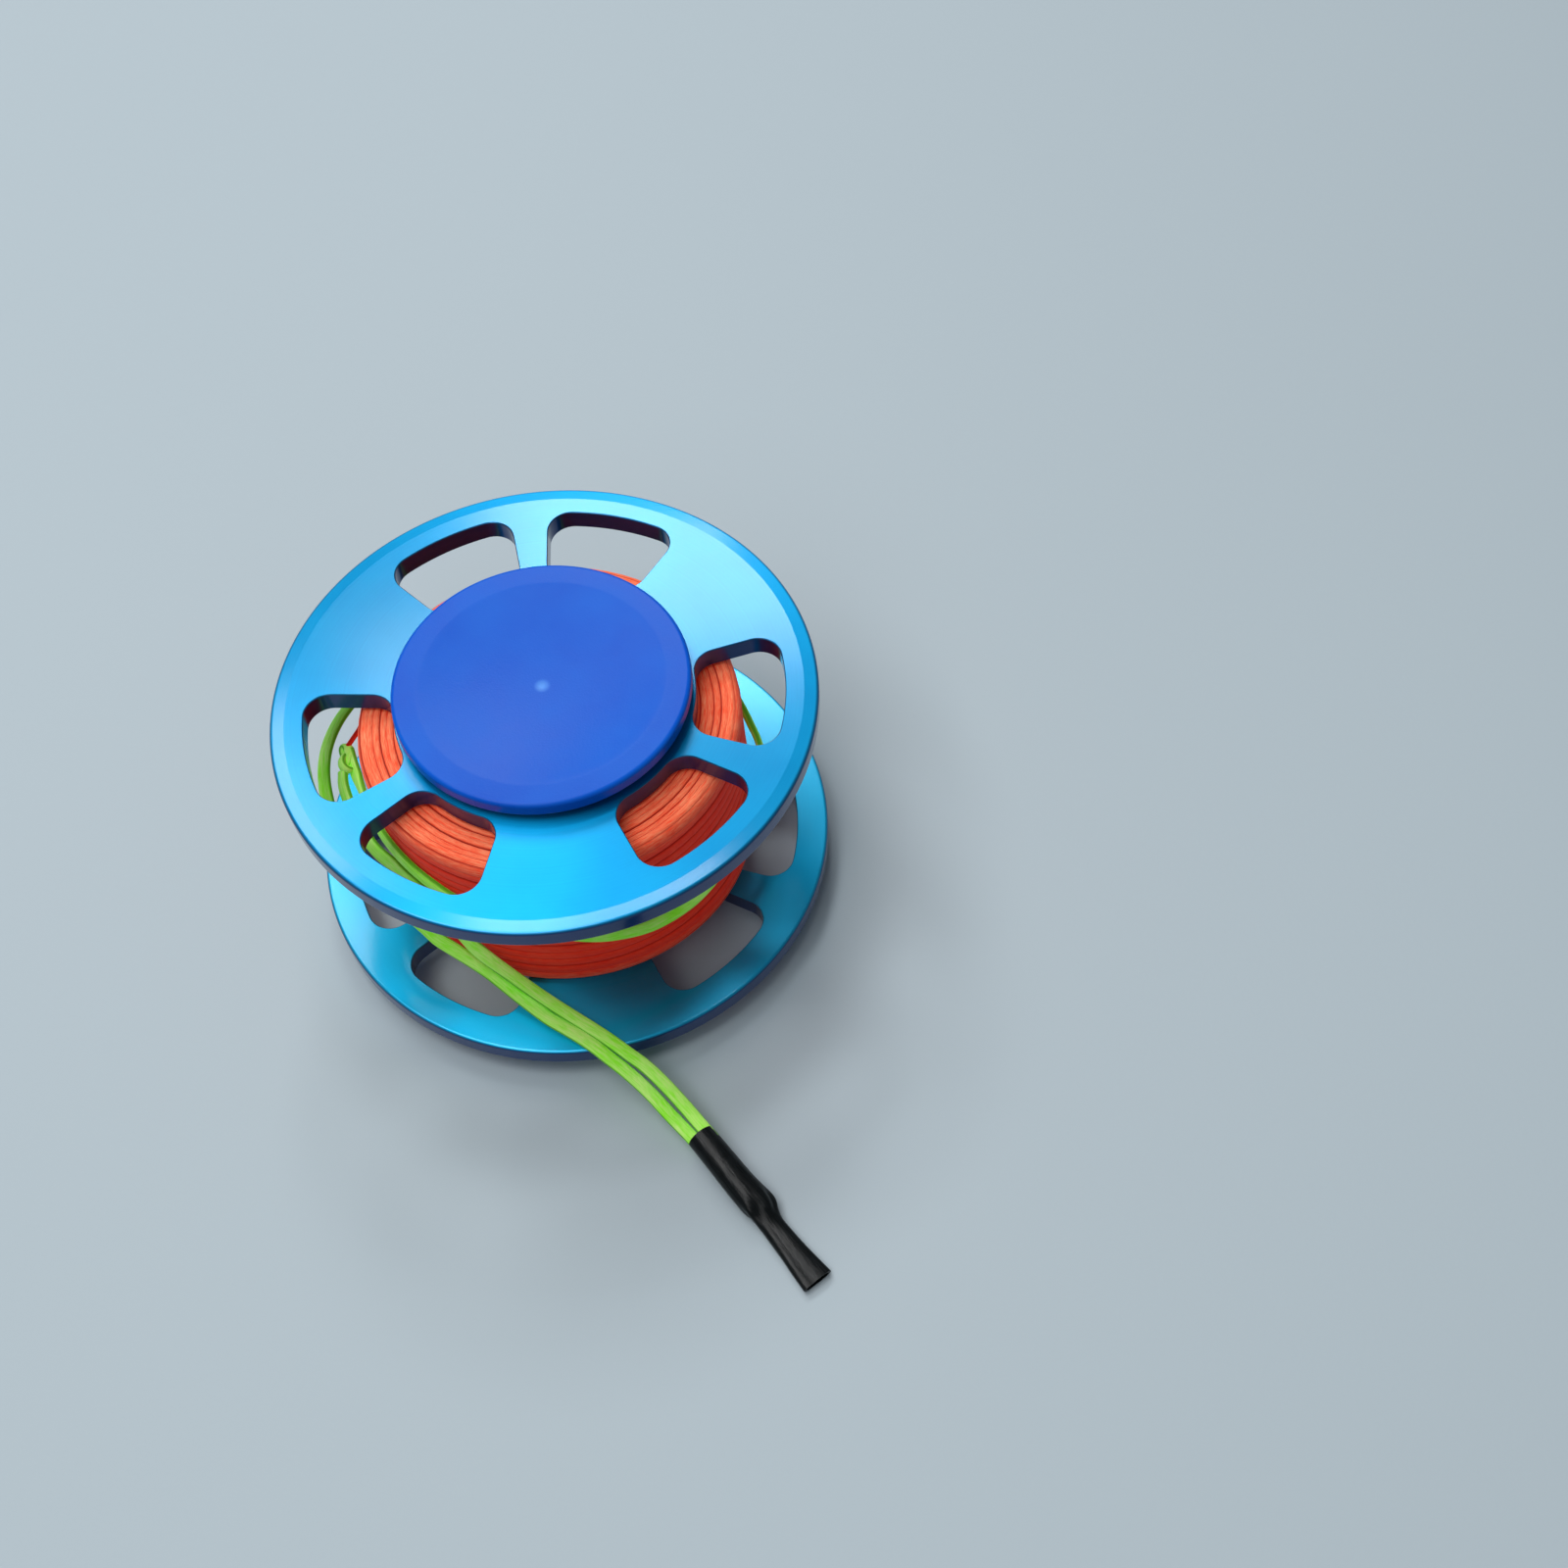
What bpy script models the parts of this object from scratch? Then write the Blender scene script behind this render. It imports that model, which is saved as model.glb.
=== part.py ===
# Finger spool: two windowed flanges screwed to a hub, a winding of line with a doubled leader,
# and a finger handle of two dished discs on one spindle that turns freely in the hub.
# Metres, +Z up. The axis of the spool is Z, and the lower disc stands on z = 0.
# Every height named "level" below is measured outwards from the middle of the spool, because
# the upper and the lower half are alike.

import math

import bmesh
import bpy
import numpy as np
from mathutils import Matrix, Vector

MM = 0.001

# Clearances
SEAT_GAP = 0.3 * MM  # between pieces that touch
RUNNING_GAP = 0.3 * MM  # round the turning handle
OVERRUN = 0.6 * MM  # how far a cutter passes the face that it cuts

# Flanges
FLANGE_RADIUS = 47.1 * MM
FLANGE_THICKNESS = 4.0 * MM
CHANNEL_WIDTH = 38.0 * MM  # between the flanges' inner faces
RIM_RING_WIDTH = 1.95 * MM
RIM_RING_DROP = 0.2 * MM
RIM_ROUND = 0.6 * MM
EDGE_BREAK = 0.15 * MM
FLANGE_SEGMENTS = 72

# Windows in the flanges, in pairs, between the disc's edge and the rim
WINDOW_RIM = 5.75 * MM
WINDOW_SETBACK = 0.4 * MM  # from the disc's edge
WINDOW_CORNER_SHARE = 0.273  # corner radius, as a share of the window's height
WINDOW_SPAN = math.radians(35.0)
WINDOW_PAIR_STEP = math.radians(44.7)
WINDOW_PAIRS = 3
FIRST_PAIR_ANGLE = math.radians(82.7)

# Hub
HUB_RADIUS = 20.5 * MM
HUB_BORE_SHARE = 0.625  # of the hub's radius
HUB_SEGMENTS = 36

# Bushes in the ends of the bore
BUSH_WALL = 2.2 * MM
BUSH_LENGTH = 9.0 * MM
BUSH_COLLAR_LIP = 1.2 * MM  # how far the collar covers the flange
BUSH_COLLAR = 0.7 * MM
BUSH_SEGMENTS = 32

# Countersunk screws that hold each flange to the hub
SCREW_CIRCLE_SHARE = 0.545  # how far out in the hub's wall
SCREWS_PER_FLANGE = 3
FIRST_SCREW_ANGLE = math.radians(23.0)
SCREW_RADIUS = 1.5 * MM
SCREW_LENGTH = 10.0 * MM
SCREW_HEAD_RADIUS = 2.75 * MM
SCREW_HEAD_DEPTH = 1.5 * MM
SCREW_HEAD_SUNK = 0.15 * MM
SOCKET_RADIUS = 1.1 * MM
SOCKET_DEPTH = 1.2 * MM
SCREW_SEGMENTS = 12
SOCKET_FLATS = 6

# Discs of the finger handle
DISC_RADIUS = 25.6 * MM
DISC_THICKNESS = 3.05 * MM
DISC_EDGE_ROUND = 0.8 * MM
DISC_RIM = 4.4 * MM  # flat ring and rounded edge round the dish
DISH_DEPTH = 1.5 * MM
DIMPLE_RADIUS = 0.8 * MM
DIMPLE_DEPTH = 0.25 * MM
SHOULDER_LIP = 1.5 * MM  # how far the shoulder covers the bush's collar
SHOULDER_HEIGHT = 0.1 * MM
BOSS_LENGTH = 9.3 * MM
DISC_SEGMENTS = 44
DISH_RING_SHARES = (0.35, 0.65, 0.87)

# Brass inserts in the bosses, and the spindle that joins them
INSERT_SHARE = 0.7  # of the boss's radius
INSERT_LENGTH = 8.4 * MM
INSERT_GROOVE = 0.5 * MM
INSERT_SEGMENTS = 24
SPINDLE_SHARE = 0.4  # of the boss's radius
SPINDLE_END_GAP = 0.6 * MM
SPINDLE_CHAMFER = 0.6 * MM
SPINDLE_SEGMENTS = 20

# Line on the hub
LINE_DIAMETER = 1.6 * MM
LINE_GAP = 0.65 * MM  # between neighbouring turns
WINDING_RADIUS = 33.5 * MM
WINDING_SIDE_GAP = 0.5 * MM  # to the flanges
WINDING_CORNER = 2.2 * MM
LINE_LEAD = 1.75 * MM  # straight run towards the hub at each end
LINE_LEAD_BEND = 1.7 * MM
POINTS_PER_TURN = 24
CORE_SEGMENTS = 36

# Anchor knot of the line, inside the hub
ANCHOR_KNOT_RADIUS = 1.9 * MM
ANCHOR_HOLE_RADIUS = 1.2 * MM
ANCHOR_SEGMENTS = 12

# Leader: a loop of flat cord, of which this is the round of equal area
LEADER_DIAMETER = 1.9 * MM
LEADER_STEP = 6.6 * MM  # between the points of a tube
ROUTE_STEPS = 16  # of the smooth curve, between two route points

# Leader wound once round the line: angle in degrees, and height over the middle as a share of half
# the channel's width
LEADER_WRAP_SHARES = (
    (115.5, 0.384), (105, 0.374), (90, 0.363), (75, 0.353), (60, 0.342), (45, 0.332), (30, 0.316),
    (15, 0.289), (0, 0.237), (-13, 0.142), (-27, 0.005), (-40, -0.100), (-55, -0.142), (-70, -0.100),
    (-85, -0.032), (-100, 0.068), (-115, 0.195), (-130, 0.321), (-140, 0.400), (-150, 0.453),
    (-160, 0.489), (-168, 0.521), (-176, 0.574), (-184, 0.616), (-188, 0.626),
)

# Outer strand, in mm: off the winding in a loose bow, under the rim of the upper flange, over the rim
# of the lower one and down to the sleeve
OUTER_STRAND_ROUTE = (
    (-15.6, 31.4, 34.8), (-21.6, 28.2, 34.9), (-27.1, 24.9, 34.9), (-32.6, 21.4, 34.8), (-36.8, 17.0, 34.8),
    (-39.8, 11.3, 34.6), (-41.1, 5.2, 34.1), (-41.0, -1.0, 33.1), (-40.0, -6.3, 32.0), (-38.1, -11.0, 30.6),
    (-36.2, -14.7, 28.9), (-34.3, -17.4, 27.3), (-32.4, -19.7, 25.4), (-30.4, -21.8, 23.2), (-28.3, -24.2, 21.2),
    (-26.0, -26.1, 19.5), (-23.4, -28.3, 17.7), (-20.8, -30.6, 15.7), (-18.4, -33.2, 13.7), (-15.8, -36.1, 11.9),
    (-13.0, -39.3, 10.6), (-10.1, -42.3, 10.1), (-7.2, -45.6, 9.9), (-4.5, -49.2, 9.4), (-1.7, -52.7, 8.1),
    (0.8, -56.2, 6.5), (3.1, -60.2, 5.0), (5.0, -63.5, 4.1), (6.4, -66.1, 3.7),
)

# Inner strand, in mm: from the leader's knot, beside the outer one, to the sleeve
INNER_STRAND_ROUTE = (
    (-35.6, 5.2, 37.0), (-35.5, 0.6, 35.9), (-35.3, -3.9, 34.9), (-34.3, -10.2, 33.7), (-32.0, -14.9, 31.9),
    (-29.6, -19.3, 30.4), (-27.6, -22.3, 28.4), (-25.4, -24.9, 25.4), (-22.9, -27.3, 22.2), (-20.4, -29.6, 19.1),
    (-17.8, -31.7, 16.2), (-15.1, -34.1, 13.9), (-12.3, -36.7, 12.0), (-9.5, -39.5, 10.8), (-6.7, -42.5, 10.2),
    (-3.9, -45.8, 9.9), (-1.2, -49.3, 9.6), (1.5, -52.5, 8.6), (4.0, -56.3, 7.2), (6.4, -60.6, 5.7),
    (8.5, -65.2, 5.2),
)

# Knot of the leader
LEADER_KNOT_ANGLE = math.radians(167.0)
LEADER_KNOT_LEVEL_SHARE = 0.558  # height over the middle, as a share of half the channel's width
LEADER_KNOT_REACH = 1.8 * MM  # half sizes: outwards, along the winding and up
LEADER_KNOT_HALF_LENGTH = 2.7 * MM
LEADER_KNOT_HALF_HEIGHT = 2.2 * MM

# End of the line that is tied to the leader's knot: angle in degrees, distance from the axis as a share
# of the winding's radius, and height over the middle as a share of half the channel's width
LINE_END_SHARES = ((139.9, 1.034, 0.716), (146.9, 1.040, 0.695), (154.2, 1.051, 0.668), (162.2, 1.063, 0.611))

# Shrunk sleeve at the end of the leader: centre of each section in mm, half width and half height in mm
SLEEVE_SECTIONS = (
    ((7.64, -65.99, 4.37), 2.45, 2.40),
    ((8.39, -67.70, 4.30), 2.50, 2.40),
    ((10.06, -71.58, 3.95), 2.60, 2.35),
    ((12.02, -76.07, 3.40), 2.75, 2.25),
    ((13.60, -79.24, 2.95), 2.95, 2.10),
    ((14.49, -80.99, 2.50), 2.85, 1.80),
    ((14.97, -82.52, 2.05), 2.40, 1.45),
    ((15.75, -84.77, 1.60), 2.10, 1.30),
    ((17.62, -89.37, 1.35), 2.30, 1.20),
    ((19.19, -93.15, 1.20), 2.65, 1.05),
    ((20.48, -96.11, 1.10), 2.90, 0.95),
)
SLEEVE_SIDES = 14

# Levels outwards from the middle, worked out from the sizes above
INNER_FACE = CHANNEL_WIDTH / 2
OUTER_FACE = INNER_FACE + FLANGE_THICKNESS
BUSH_SEAT = OUTER_FACE + SEAT_GAP
BUSH_TOP = BUSH_SEAT + BUSH_COLLAR
SHOULDER_FACE = BUSH_TOP + RUNNING_GAP
DISC_UNDERSIDE = SHOULDER_FACE + SHOULDER_HEIGHT
DISC_TOP = DISC_UNDERSIDE + DISC_THICKNESS
BOSS_END = SHOULDER_FACE - BOSS_LENGTH
MIDDLE = DISC_TOP  # height of the middle above the floor

HUB_BORE_RADIUS = HUB_RADIUS * HUB_BORE_SHARE
SCREW_CIRCLE_RADIUS = HUB_BORE_RADIUS + (HUB_RADIUS - HUB_BORE_RADIUS) * SCREW_CIRCLE_SHARE
BUSH_RADIUS = HUB_BORE_RADIUS - SEAT_GAP
BUSH_COLLAR_RADIUS = HUB_BORE_RADIUS + BUSH_COLLAR_LIP
SHOULDER_RADIUS = BUSH_COLLAR_RADIUS + SHOULDER_LIP
DISH_RADIUS = DISC_RADIUS - DISC_RIM
WINDOW_INNER_RADIUS = DISC_RADIUS + WINDOW_SETBACK
WINDOW_OUTER_RADIUS = FLANGE_RADIUS - WINDOW_RIM
WINDOW_CORNER = (WINDOW_OUTER_RADIUS - WINDOW_INNER_RADIUS) * WINDOW_CORNER_SHARE
BOSS_RADIUS = BUSH_RADIUS - BUSH_WALL - RUNNING_GAP
INSERT_RADIUS = BOSS_RADIUS * INSERT_SHARE
SPINDLE_RADIUS = BOSS_RADIUS * SPINDLE_SHARE
INSERT_BORE_RADIUS = SPINDLE_RADIUS + SEAT_GAP
INSERT_POCKET_RADIUS = INSERT_RADIUS + SEAT_GAP
INSERT_POCKET_END = BOSS_END + INSERT_LENGTH + SEAT_GAP

LINE_RADIUS = LINE_DIAMETER / 2
LINE_LEVEL = INNER_FACE - WINDING_SIDE_GAP - LINE_RADIUS  # line's centre in the end layers
LINE_SIDE_RADIUS = WINDING_RADIUS - LINE_RADIUS  # line's centre on the side
LINE_INNER_RADIUS = HUB_RADIUS + SEAT_GAP + LINE_LEAD + LINE_LEAD_BEND
LEADER_RADIUS = LEADER_DIAMETER / 2
WRAP_RADIUS = WINDING_RADIUS + SEAT_GAP + LEADER_RADIUS + LEADER_STEP**2 / (8 * WINDING_RADIUS)


def shade(red, green, blue):
    """Linear colour of an 8-bit screen colour"""
    return tuple(((value / 255 + 0.055) / 1.055) ** 2.4 for value in (red, green, blue)) + (1.0,)


def material(name, colour, roughness, metallic=0.0):
    made = bpy.data.materials.new(name)
    made.use_nodes = True
    made.diffuse_color = colour
    shader = made.node_tree.nodes["Principled BSDF"]
    shader.inputs["Base Color"].default_value = colour
    shader.inputs["Roughness"].default_value = roughness
    shader.inputs["Metallic"].default_value = metallic
    return made


def show(name, data, finish, parent=None):
    """Puts a mesh or a curve in the scene under a name, with its material."""
    piece = bpy.data.objects.new(name, data)
    bpy.context.collection.objects.link(piece)
    if not data.materials:
        data.materials.append(finish)
    piece.parent = parent
    return piece


def mesh_from(bm, name):
    """Closes a bmesh into a smooth-shaded mesh whose faces point out."""
    bmesh.ops.recalc_face_normals(bm, faces=bm.faces)
    mesh = bpy.data.meshes.new(name)
    bm.to_mesh(mesh)
    bm.free()
    mesh.shade_smooth()
    mesh.set_sharp_from_angle(angle=math.radians(30.0))
    return mesh


def polygon_reach(angle, flats):
    """How far a regular polygon reaches at an angle, where its flats are 1 from the centre"""
    step = math.tau / flats
    return 1.0 / math.cos((angle + step / 2) % step - step / 2)


def add_turned(bm, outline, segments, centre=(0.0, 0.0)):
    """Adds one solid turned about an upright axis from a closed outline of (radius, height) points.
    A point with a third entry is a ring with that many flats."""
    rings = []
    for radius, height, *flats in outline:
        if radius == 0:
            rings.append([bm.verts.new((*centre, height))])
            continue
        ring = []
        for step in range(segments):
            angle = math.tau * step / segments
            reach = radius * polygon_reach(angle, flats[0]) if flats else radius
            across = centre[0] + reach * math.cos(angle)
            along = centre[1] + reach * math.sin(angle)
            ring.append(bm.verts.new((across, along, height)))
        rings.append(ring)
    for ring, following in zip(rings, rings[1:] + rings[:1]):
        if len(ring) == len(following) == 1:
            continue
        for step in range(segments):
            after = (step + 1) % segments
            corners = [ring[step % len(ring)], ring[after % len(ring)]]
            corners += [following[after % len(following)], following[step % len(following)]]
            bm.faces.new(list(dict.fromkeys(corners)))


def turned_mesh(name, outline, segments):
    bm = bmesh.new()
    add_turned(bm, outline, segments)
    return mesh_from(bm, name)


def levelled(outline, side):
    """An outline of (radius, level) points as (radius, height) points, on the upper or lower side"""
    return [(radius, MIDDLE + side * level, *flats) for radius, level, *flats in outline]


def round_places(count, first_angle, radius):
    """Centres spaced evenly on a circle"""
    angles = [first_angle + math.tau * index / count for index in range(count)]
    return [(radius * math.cos(angle), radius * math.sin(angle)) for angle in angles]


def cut_with(piece, cutter_mesh):
    """Cuts a hidden guide out of a piece."""
    cutter = bpy.data.objects.new(piece.name + "_cutter", cutter_mesh)
    bpy.context.collection.objects.link(cutter)
    cutter.hide_render = True
    cutter.display_type = "WIRE"
    cut = piece.modifiers.new("cut", "BOOLEAN")
    cut.operation = "DIFFERENCE"
    cut.solver = "EXACT"
    cut.object = cutter


def arc_points(centre, radius, start, end, steps):
    angles = [start + (end - start) * step / steps for step in range(steps + 1)]
    return [(centre[0] + radius * math.cos(a), centre[1] + radius * math.sin(a)) for a in angles]


def window_outline(middle_angle, growth):
    """Corner-rounded window between two arcs, grown outwards by a small amount"""
    half = WINDOW_SPAN / 2
    outer_reach = WINDOW_OUTER_RADIUS - WINDOW_CORNER
    inner_reach = WINDOW_INNER_RADIUS + WINDOW_CORNER
    outer_angle = half - math.asin(WINDOW_CORNER / outer_reach)
    inner_angle = half - math.asin(WINDOW_CORNER / inner_reach)
    square = math.pi / 2
    corner = WINDOW_CORNER + growth
    points = arc_points((0, 0), WINDOW_OUTER_RADIUS + growth, -outer_angle, outer_angle, 3)[1:-1]
    for reach, angle, start, end in (
        (outer_reach, outer_angle, outer_angle, half + square),
        (inner_reach, inner_angle, half + square, inner_angle + 2 * square),
        (inner_reach, -inner_angle, 2 * square - inner_angle, 3 * square - half),
        (outer_reach, -outer_angle, -half - square, -outer_angle),
    ):
        centre = (reach * math.cos(angle), reach * math.sin(angle))
        points += arc_points(centre, corner, start, end, 4)
    turn = Matrix.Rotation(middle_angle, 2)
    return [turn @ Vector(point) for point in points]


def window_angles():
    """Middle angle of every window"""
    angles = []
    for pair in range(WINDOW_PAIRS):
        middle = FIRST_PAIR_ANGLE + math.tau * pair / WINDOW_PAIRS
        angles += [middle - WINDOW_PAIR_STEP / 2, middle + WINDOW_PAIR_STEP / 2]
    return angles


def add_stack(bm, layers):
    """Adds one solid through rings of 3-D points that have equal counts."""
    rings = [[bm.verts.new(point) for point in layer] for layer in layers]
    count = len(rings[0])
    for ring, following in zip(rings, rings[1:]):
        for step in range(count):
            after = (step + 1) % count
            bm.faces.new((ring[step], ring[after], following[after], following[step]))
    bm.faces.new(rings[0])
    bm.faces.new(rings[-1])


def flange_cutter(side):
    """Windows with broken edges, and the countersunk screw holes"""
    bm = bmesh.new()
    flare = EDGE_BREAK + OVERRUN
    levels = (
        (OUTER_FACE + OVERRUN, flare),
        (OUTER_FACE - EDGE_BREAK, 0.0),
        (INNER_FACE + EDGE_BREAK, 0.0),
        (INNER_FACE - OVERRUN, flare),
    )
    for angle in window_angles():
        layers = []
        for level, growth in levels:
            height = MIDDLE + side * level
            layers.append([(point.x, point.y, height) for point in window_outline(angle, growth)])
        add_stack(bm, layers)
    hole_radius = SCREW_RADIUS + SEAT_GAP
    sink_radius = SCREW_HEAD_RADIUS + SEAT_GAP
    sink_top = OUTER_FACE - SCREW_HEAD_SUNK
    hole = (
        (0, OUTER_FACE + OVERRUN),
        (sink_radius, OUTER_FACE + OVERRUN),
        (sink_radius, sink_top),
        (hole_radius, sink_top - SCREW_HEAD_DEPTH),
        (hole_radius, INNER_FACE - OVERRUN),
        (0, INNER_FACE - OVERRUN),
    )
    for place in round_places(SCREWS_PER_FLANGE, FIRST_SCREW_ANGLE, SCREW_CIRCLE_RADIUS):
        add_turned(bm, levelled(hole, side), SCREW_SEGMENTS, place)
    return mesh_from(bm, "flange_cutter")


def make_flange(name, side, finish):
    """Disc with a bore, a shallow cone at its rim and softened edges"""
    ring_edge = FLANGE_RADIUS - RIM_ROUND
    ring_level = OUTER_FACE - RIM_RING_DROP
    outline = [(HUB_BORE_RADIUS, OUTER_FACE), (ring_edge - RIM_RING_WIDTH, OUTER_FACE)]
    outline += arc_points((ring_edge, ring_level - RIM_ROUND), RIM_ROUND, math.pi / 2, 0, 2)
    outline += [
        (FLANGE_RADIUS, INNER_FACE + RIM_ROUND),
        (ring_edge, INNER_FACE),
        (HUB_BORE_RADIUS, INNER_FACE),
    ]
    flange = show(name, turned_mesh(name, levelled(outline, side), FLANGE_SEGMENTS), finish)
    cut_with(flange, flange_cutter(side))


def make_hub(finish):
    """Tube between the flanges, with blind screw holes in its ends and a hole for the line"""
    end = INNER_FACE - SEAT_GAP
    outline = (
        (HUB_BORE_RADIUS, MIDDLE + end),
        (HUB_RADIUS, MIDDLE + end),
        (HUB_RADIUS, MIDDLE - end),
        (HUB_BORE_RADIUS, MIDDLE - end),
    )
    hub = show("hub_barrel", turned_mesh("hub_barrel", outline, HUB_SEGMENTS), finish)
    bm = bmesh.new()
    hole_radius = SCREW_RADIUS + SEAT_GAP
    screw_end = OUTER_FACE - SCREW_HEAD_SUNK - SCREW_LENGTH
    hole = ((0, end + OVERRUN), (hole_radius, end + OVERRUN))
    hole += ((hole_radius, screw_end - SEAT_GAP), (0, screw_end - SEAT_GAP))
    for side in (1, -1):
        for place in round_places(SCREWS_PER_FLANGE, FIRST_SCREW_ANGLE, SCREW_CIRCLE_RADIUS):
            add_turned(bm, levelled(hole, side), SCREW_SEGMENTS, place)
    for vert in add_lying(bm, ((0, HUB_BORE_RADIUS - OVERRUN), (ANCHOR_HOLE_RADIUS, HUB_BORE_RADIUS - OVERRUN),
                               (ANCHOR_HOLE_RADIUS, HUB_RADIUS + OVERRUN), (0, HUB_RADIUS + OVERRUN))):
        vert.co.z += MIDDLE
    cut_with(hub, mesh_from(bm, "hub_cutter"))


def add_lying(bm, outline):
    """Adds a solid turned about the X axis from (radius, distance along X) points."""
    before = set(bm.verts)
    add_turned(bm, outline, ANCHOR_SEGMENTS)
    made = [vert for vert in bm.verts if vert not in before]
    bmesh.ops.rotate(bm, cent=(0, 0, 0), matrix=Matrix.Rotation(math.pi / 2, 3, "Y"), verts=made)
    return made


def screw_mesh():
    """Countersunk screw with a hexagon socket, head up, with its origin at the top of the head"""
    outline = (
        (0, -SOCKET_DEPTH),
        (SOCKET_RADIUS, -SOCKET_DEPTH, SOCKET_FLATS),
        (SOCKET_RADIUS, 0, SOCKET_FLATS),
        (SCREW_HEAD_RADIUS, 0),
        (SCREW_RADIUS, -SCREW_HEAD_DEPTH),
        (SCREW_RADIUS, -SCREW_LENGTH),
        (0, -SCREW_LENGTH),
    )
    return turned_mesh("flange_screw", outline, SCREW_SEGMENTS)


def place_screws(word, side, mesh, finish):
    """Sets the screws of one flange in their holes."""
    places = round_places(SCREWS_PER_FLANGE, FIRST_SCREW_ANGLE, SCREW_CIRCLE_RADIUS)
    for number, place in enumerate(places, 1):
        screw = show(f"{word}_screw_{number}", mesh, finish)
        screw.location = (*place, MIDDLE + side * (OUTER_FACE - SCREW_HEAD_SUNK))
        screw.rotation_euler.x = 0 if side > 0 else math.pi


def make_bush(name, side, finish):
    """Plain bearing with a collar outside the flange"""
    inner_radius = BUSH_RADIUS - BUSH_WALL
    outline = (
        (inner_radius, BUSH_TOP),
        (BUSH_COLLAR_RADIUS, BUSH_TOP),
        (BUSH_COLLAR_RADIUS, BUSH_SEAT),
        (BUSH_RADIUS, BUSH_SEAT),
        (BUSH_RADIUS, BUSH_SEAT - BUSH_LENGTH),
        (inner_radius, BUSH_SEAT - BUSH_LENGTH),
    )
    show(name, turned_mesh(name, levelled(outline, side), BUSH_SEGMENTS), finish)


def make_disc(name, side, finish, axis):
    """Dished disc with a rounded rim, a shoulder over the bush and a boss that runs in it"""
    outline = [(0, DISC_TOP - DISH_DEPTH - DIMPLE_DEPTH)]
    dish_level = DISC_TOP - DISH_DEPTH
    outline.append((DIMPLE_RADIUS, dish_level + DISH_DEPTH * (DIMPLE_RADIUS / DISH_RADIUS) ** 2))
    for share in DISH_RING_SHARES:
        outline.append((DISH_RADIUS * share, dish_level + DISH_DEPTH * share**2))
    outline.append((DISH_RADIUS, DISC_TOP))
    rim_centre = DISC_RADIUS - DISC_EDGE_ROUND
    outline += arc_points((rim_centre, DISC_TOP - DISC_EDGE_ROUND), DISC_EDGE_ROUND, math.pi / 2, 0, 3)
    outline += arc_points((rim_centre, DISC_UNDERSIDE + DISC_EDGE_ROUND), DISC_EDGE_ROUND, 0, -math.pi / 2, 2)
    outline += [
        (SHOULDER_RADIUS + SHOULDER_HEIGHT, DISC_UNDERSIDE),
        (SHOULDER_RADIUS, SHOULDER_FACE),
        (BOSS_RADIUS, SHOULDER_FACE),
        (BOSS_RADIUS, BOSS_END),
        (INSERT_POCKET_RADIUS, BOSS_END),
        (INSERT_POCKET_RADIUS, INSERT_POCKET_END),
        (0, INSERT_POCKET_END),
    ]
    show(name, turned_mesh(name, levelled(outline, side), DISC_SEGMENTS), finish, axis)


def make_insert(name, side, finish, axis):
    """Threaded brass insert, plain here but for its waist"""
    top = BOSS_END + INSERT_LENGTH
    third = INSERT_LENGTH / 3
    outline = (
        (INSERT_BORE_RADIUS, top),
        (INSERT_RADIUS, top),
        (INSERT_RADIUS, top - third),
        (INSERT_RADIUS - INSERT_GROOVE, top - third - INSERT_GROOVE),
        (INSERT_RADIUS - INSERT_GROOVE, BOSS_END + third + INSERT_GROOVE),
        (INSERT_RADIUS, BOSS_END + third),
        (INSERT_RADIUS, BOSS_END),
        (INSERT_BORE_RADIUS, BOSS_END),
    )
    show(name, turned_mesh(name, levelled(outline, side), INSERT_SEGMENTS), finish, axis)


def make_spindle(finish, axis):
    """Rod that joins the two inserts"""
    end = INSERT_POCKET_END - SPINDLE_END_GAP
    outline = (
        (0, MIDDLE + end),
        (SPINDLE_RADIUS - SPINDLE_CHAMFER, MIDDLE + end),
        (SPINDLE_RADIUS, MIDDLE + end - SPINDLE_CHAMFER),
        (SPINDLE_RADIUS, MIDDLE - end + SPINDLE_CHAMFER),
        (SPINDLE_RADIUS - SPINDLE_CHAMFER, MIDDLE - end),
        (0, MIDDLE - end),
    )
    show("spindle", turned_mesh("spindle", outline, SPINDLE_SEGMENTS), finish, axis)


def make_line_core(finish):
    """Everything that is wound below the outer layer"""
    sag = LINE_SIDE_RADIUS * (1 - math.cos(math.pi / POINTS_PER_TURN))
    radius = WINDING_RADIUS - LINE_DIAMETER - SEAT_GAP - sag
    level = LINE_LEVEL - LINE_RADIUS - SEAT_GAP
    inner_radius = HUB_RADIUS + SEAT_GAP
    centre = (radius - WINDING_CORNER, level - WINDING_CORNER)
    corner = arc_points(centre, WINDING_CORNER, math.pi / 2, 0, 2)
    outline = [(inner_radius, MIDDLE + level)]
    outline += [(reach, MIDDLE + height) for reach, height in corner]
    outline += [(reach, MIDDLE - height) for reach, height in reversed(corner)]
    outline.append((inner_radius, MIDDLE - level))
    show("line_core", turned_mesh("line_core", outline, CORE_SEGMENTS), finish)


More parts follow.
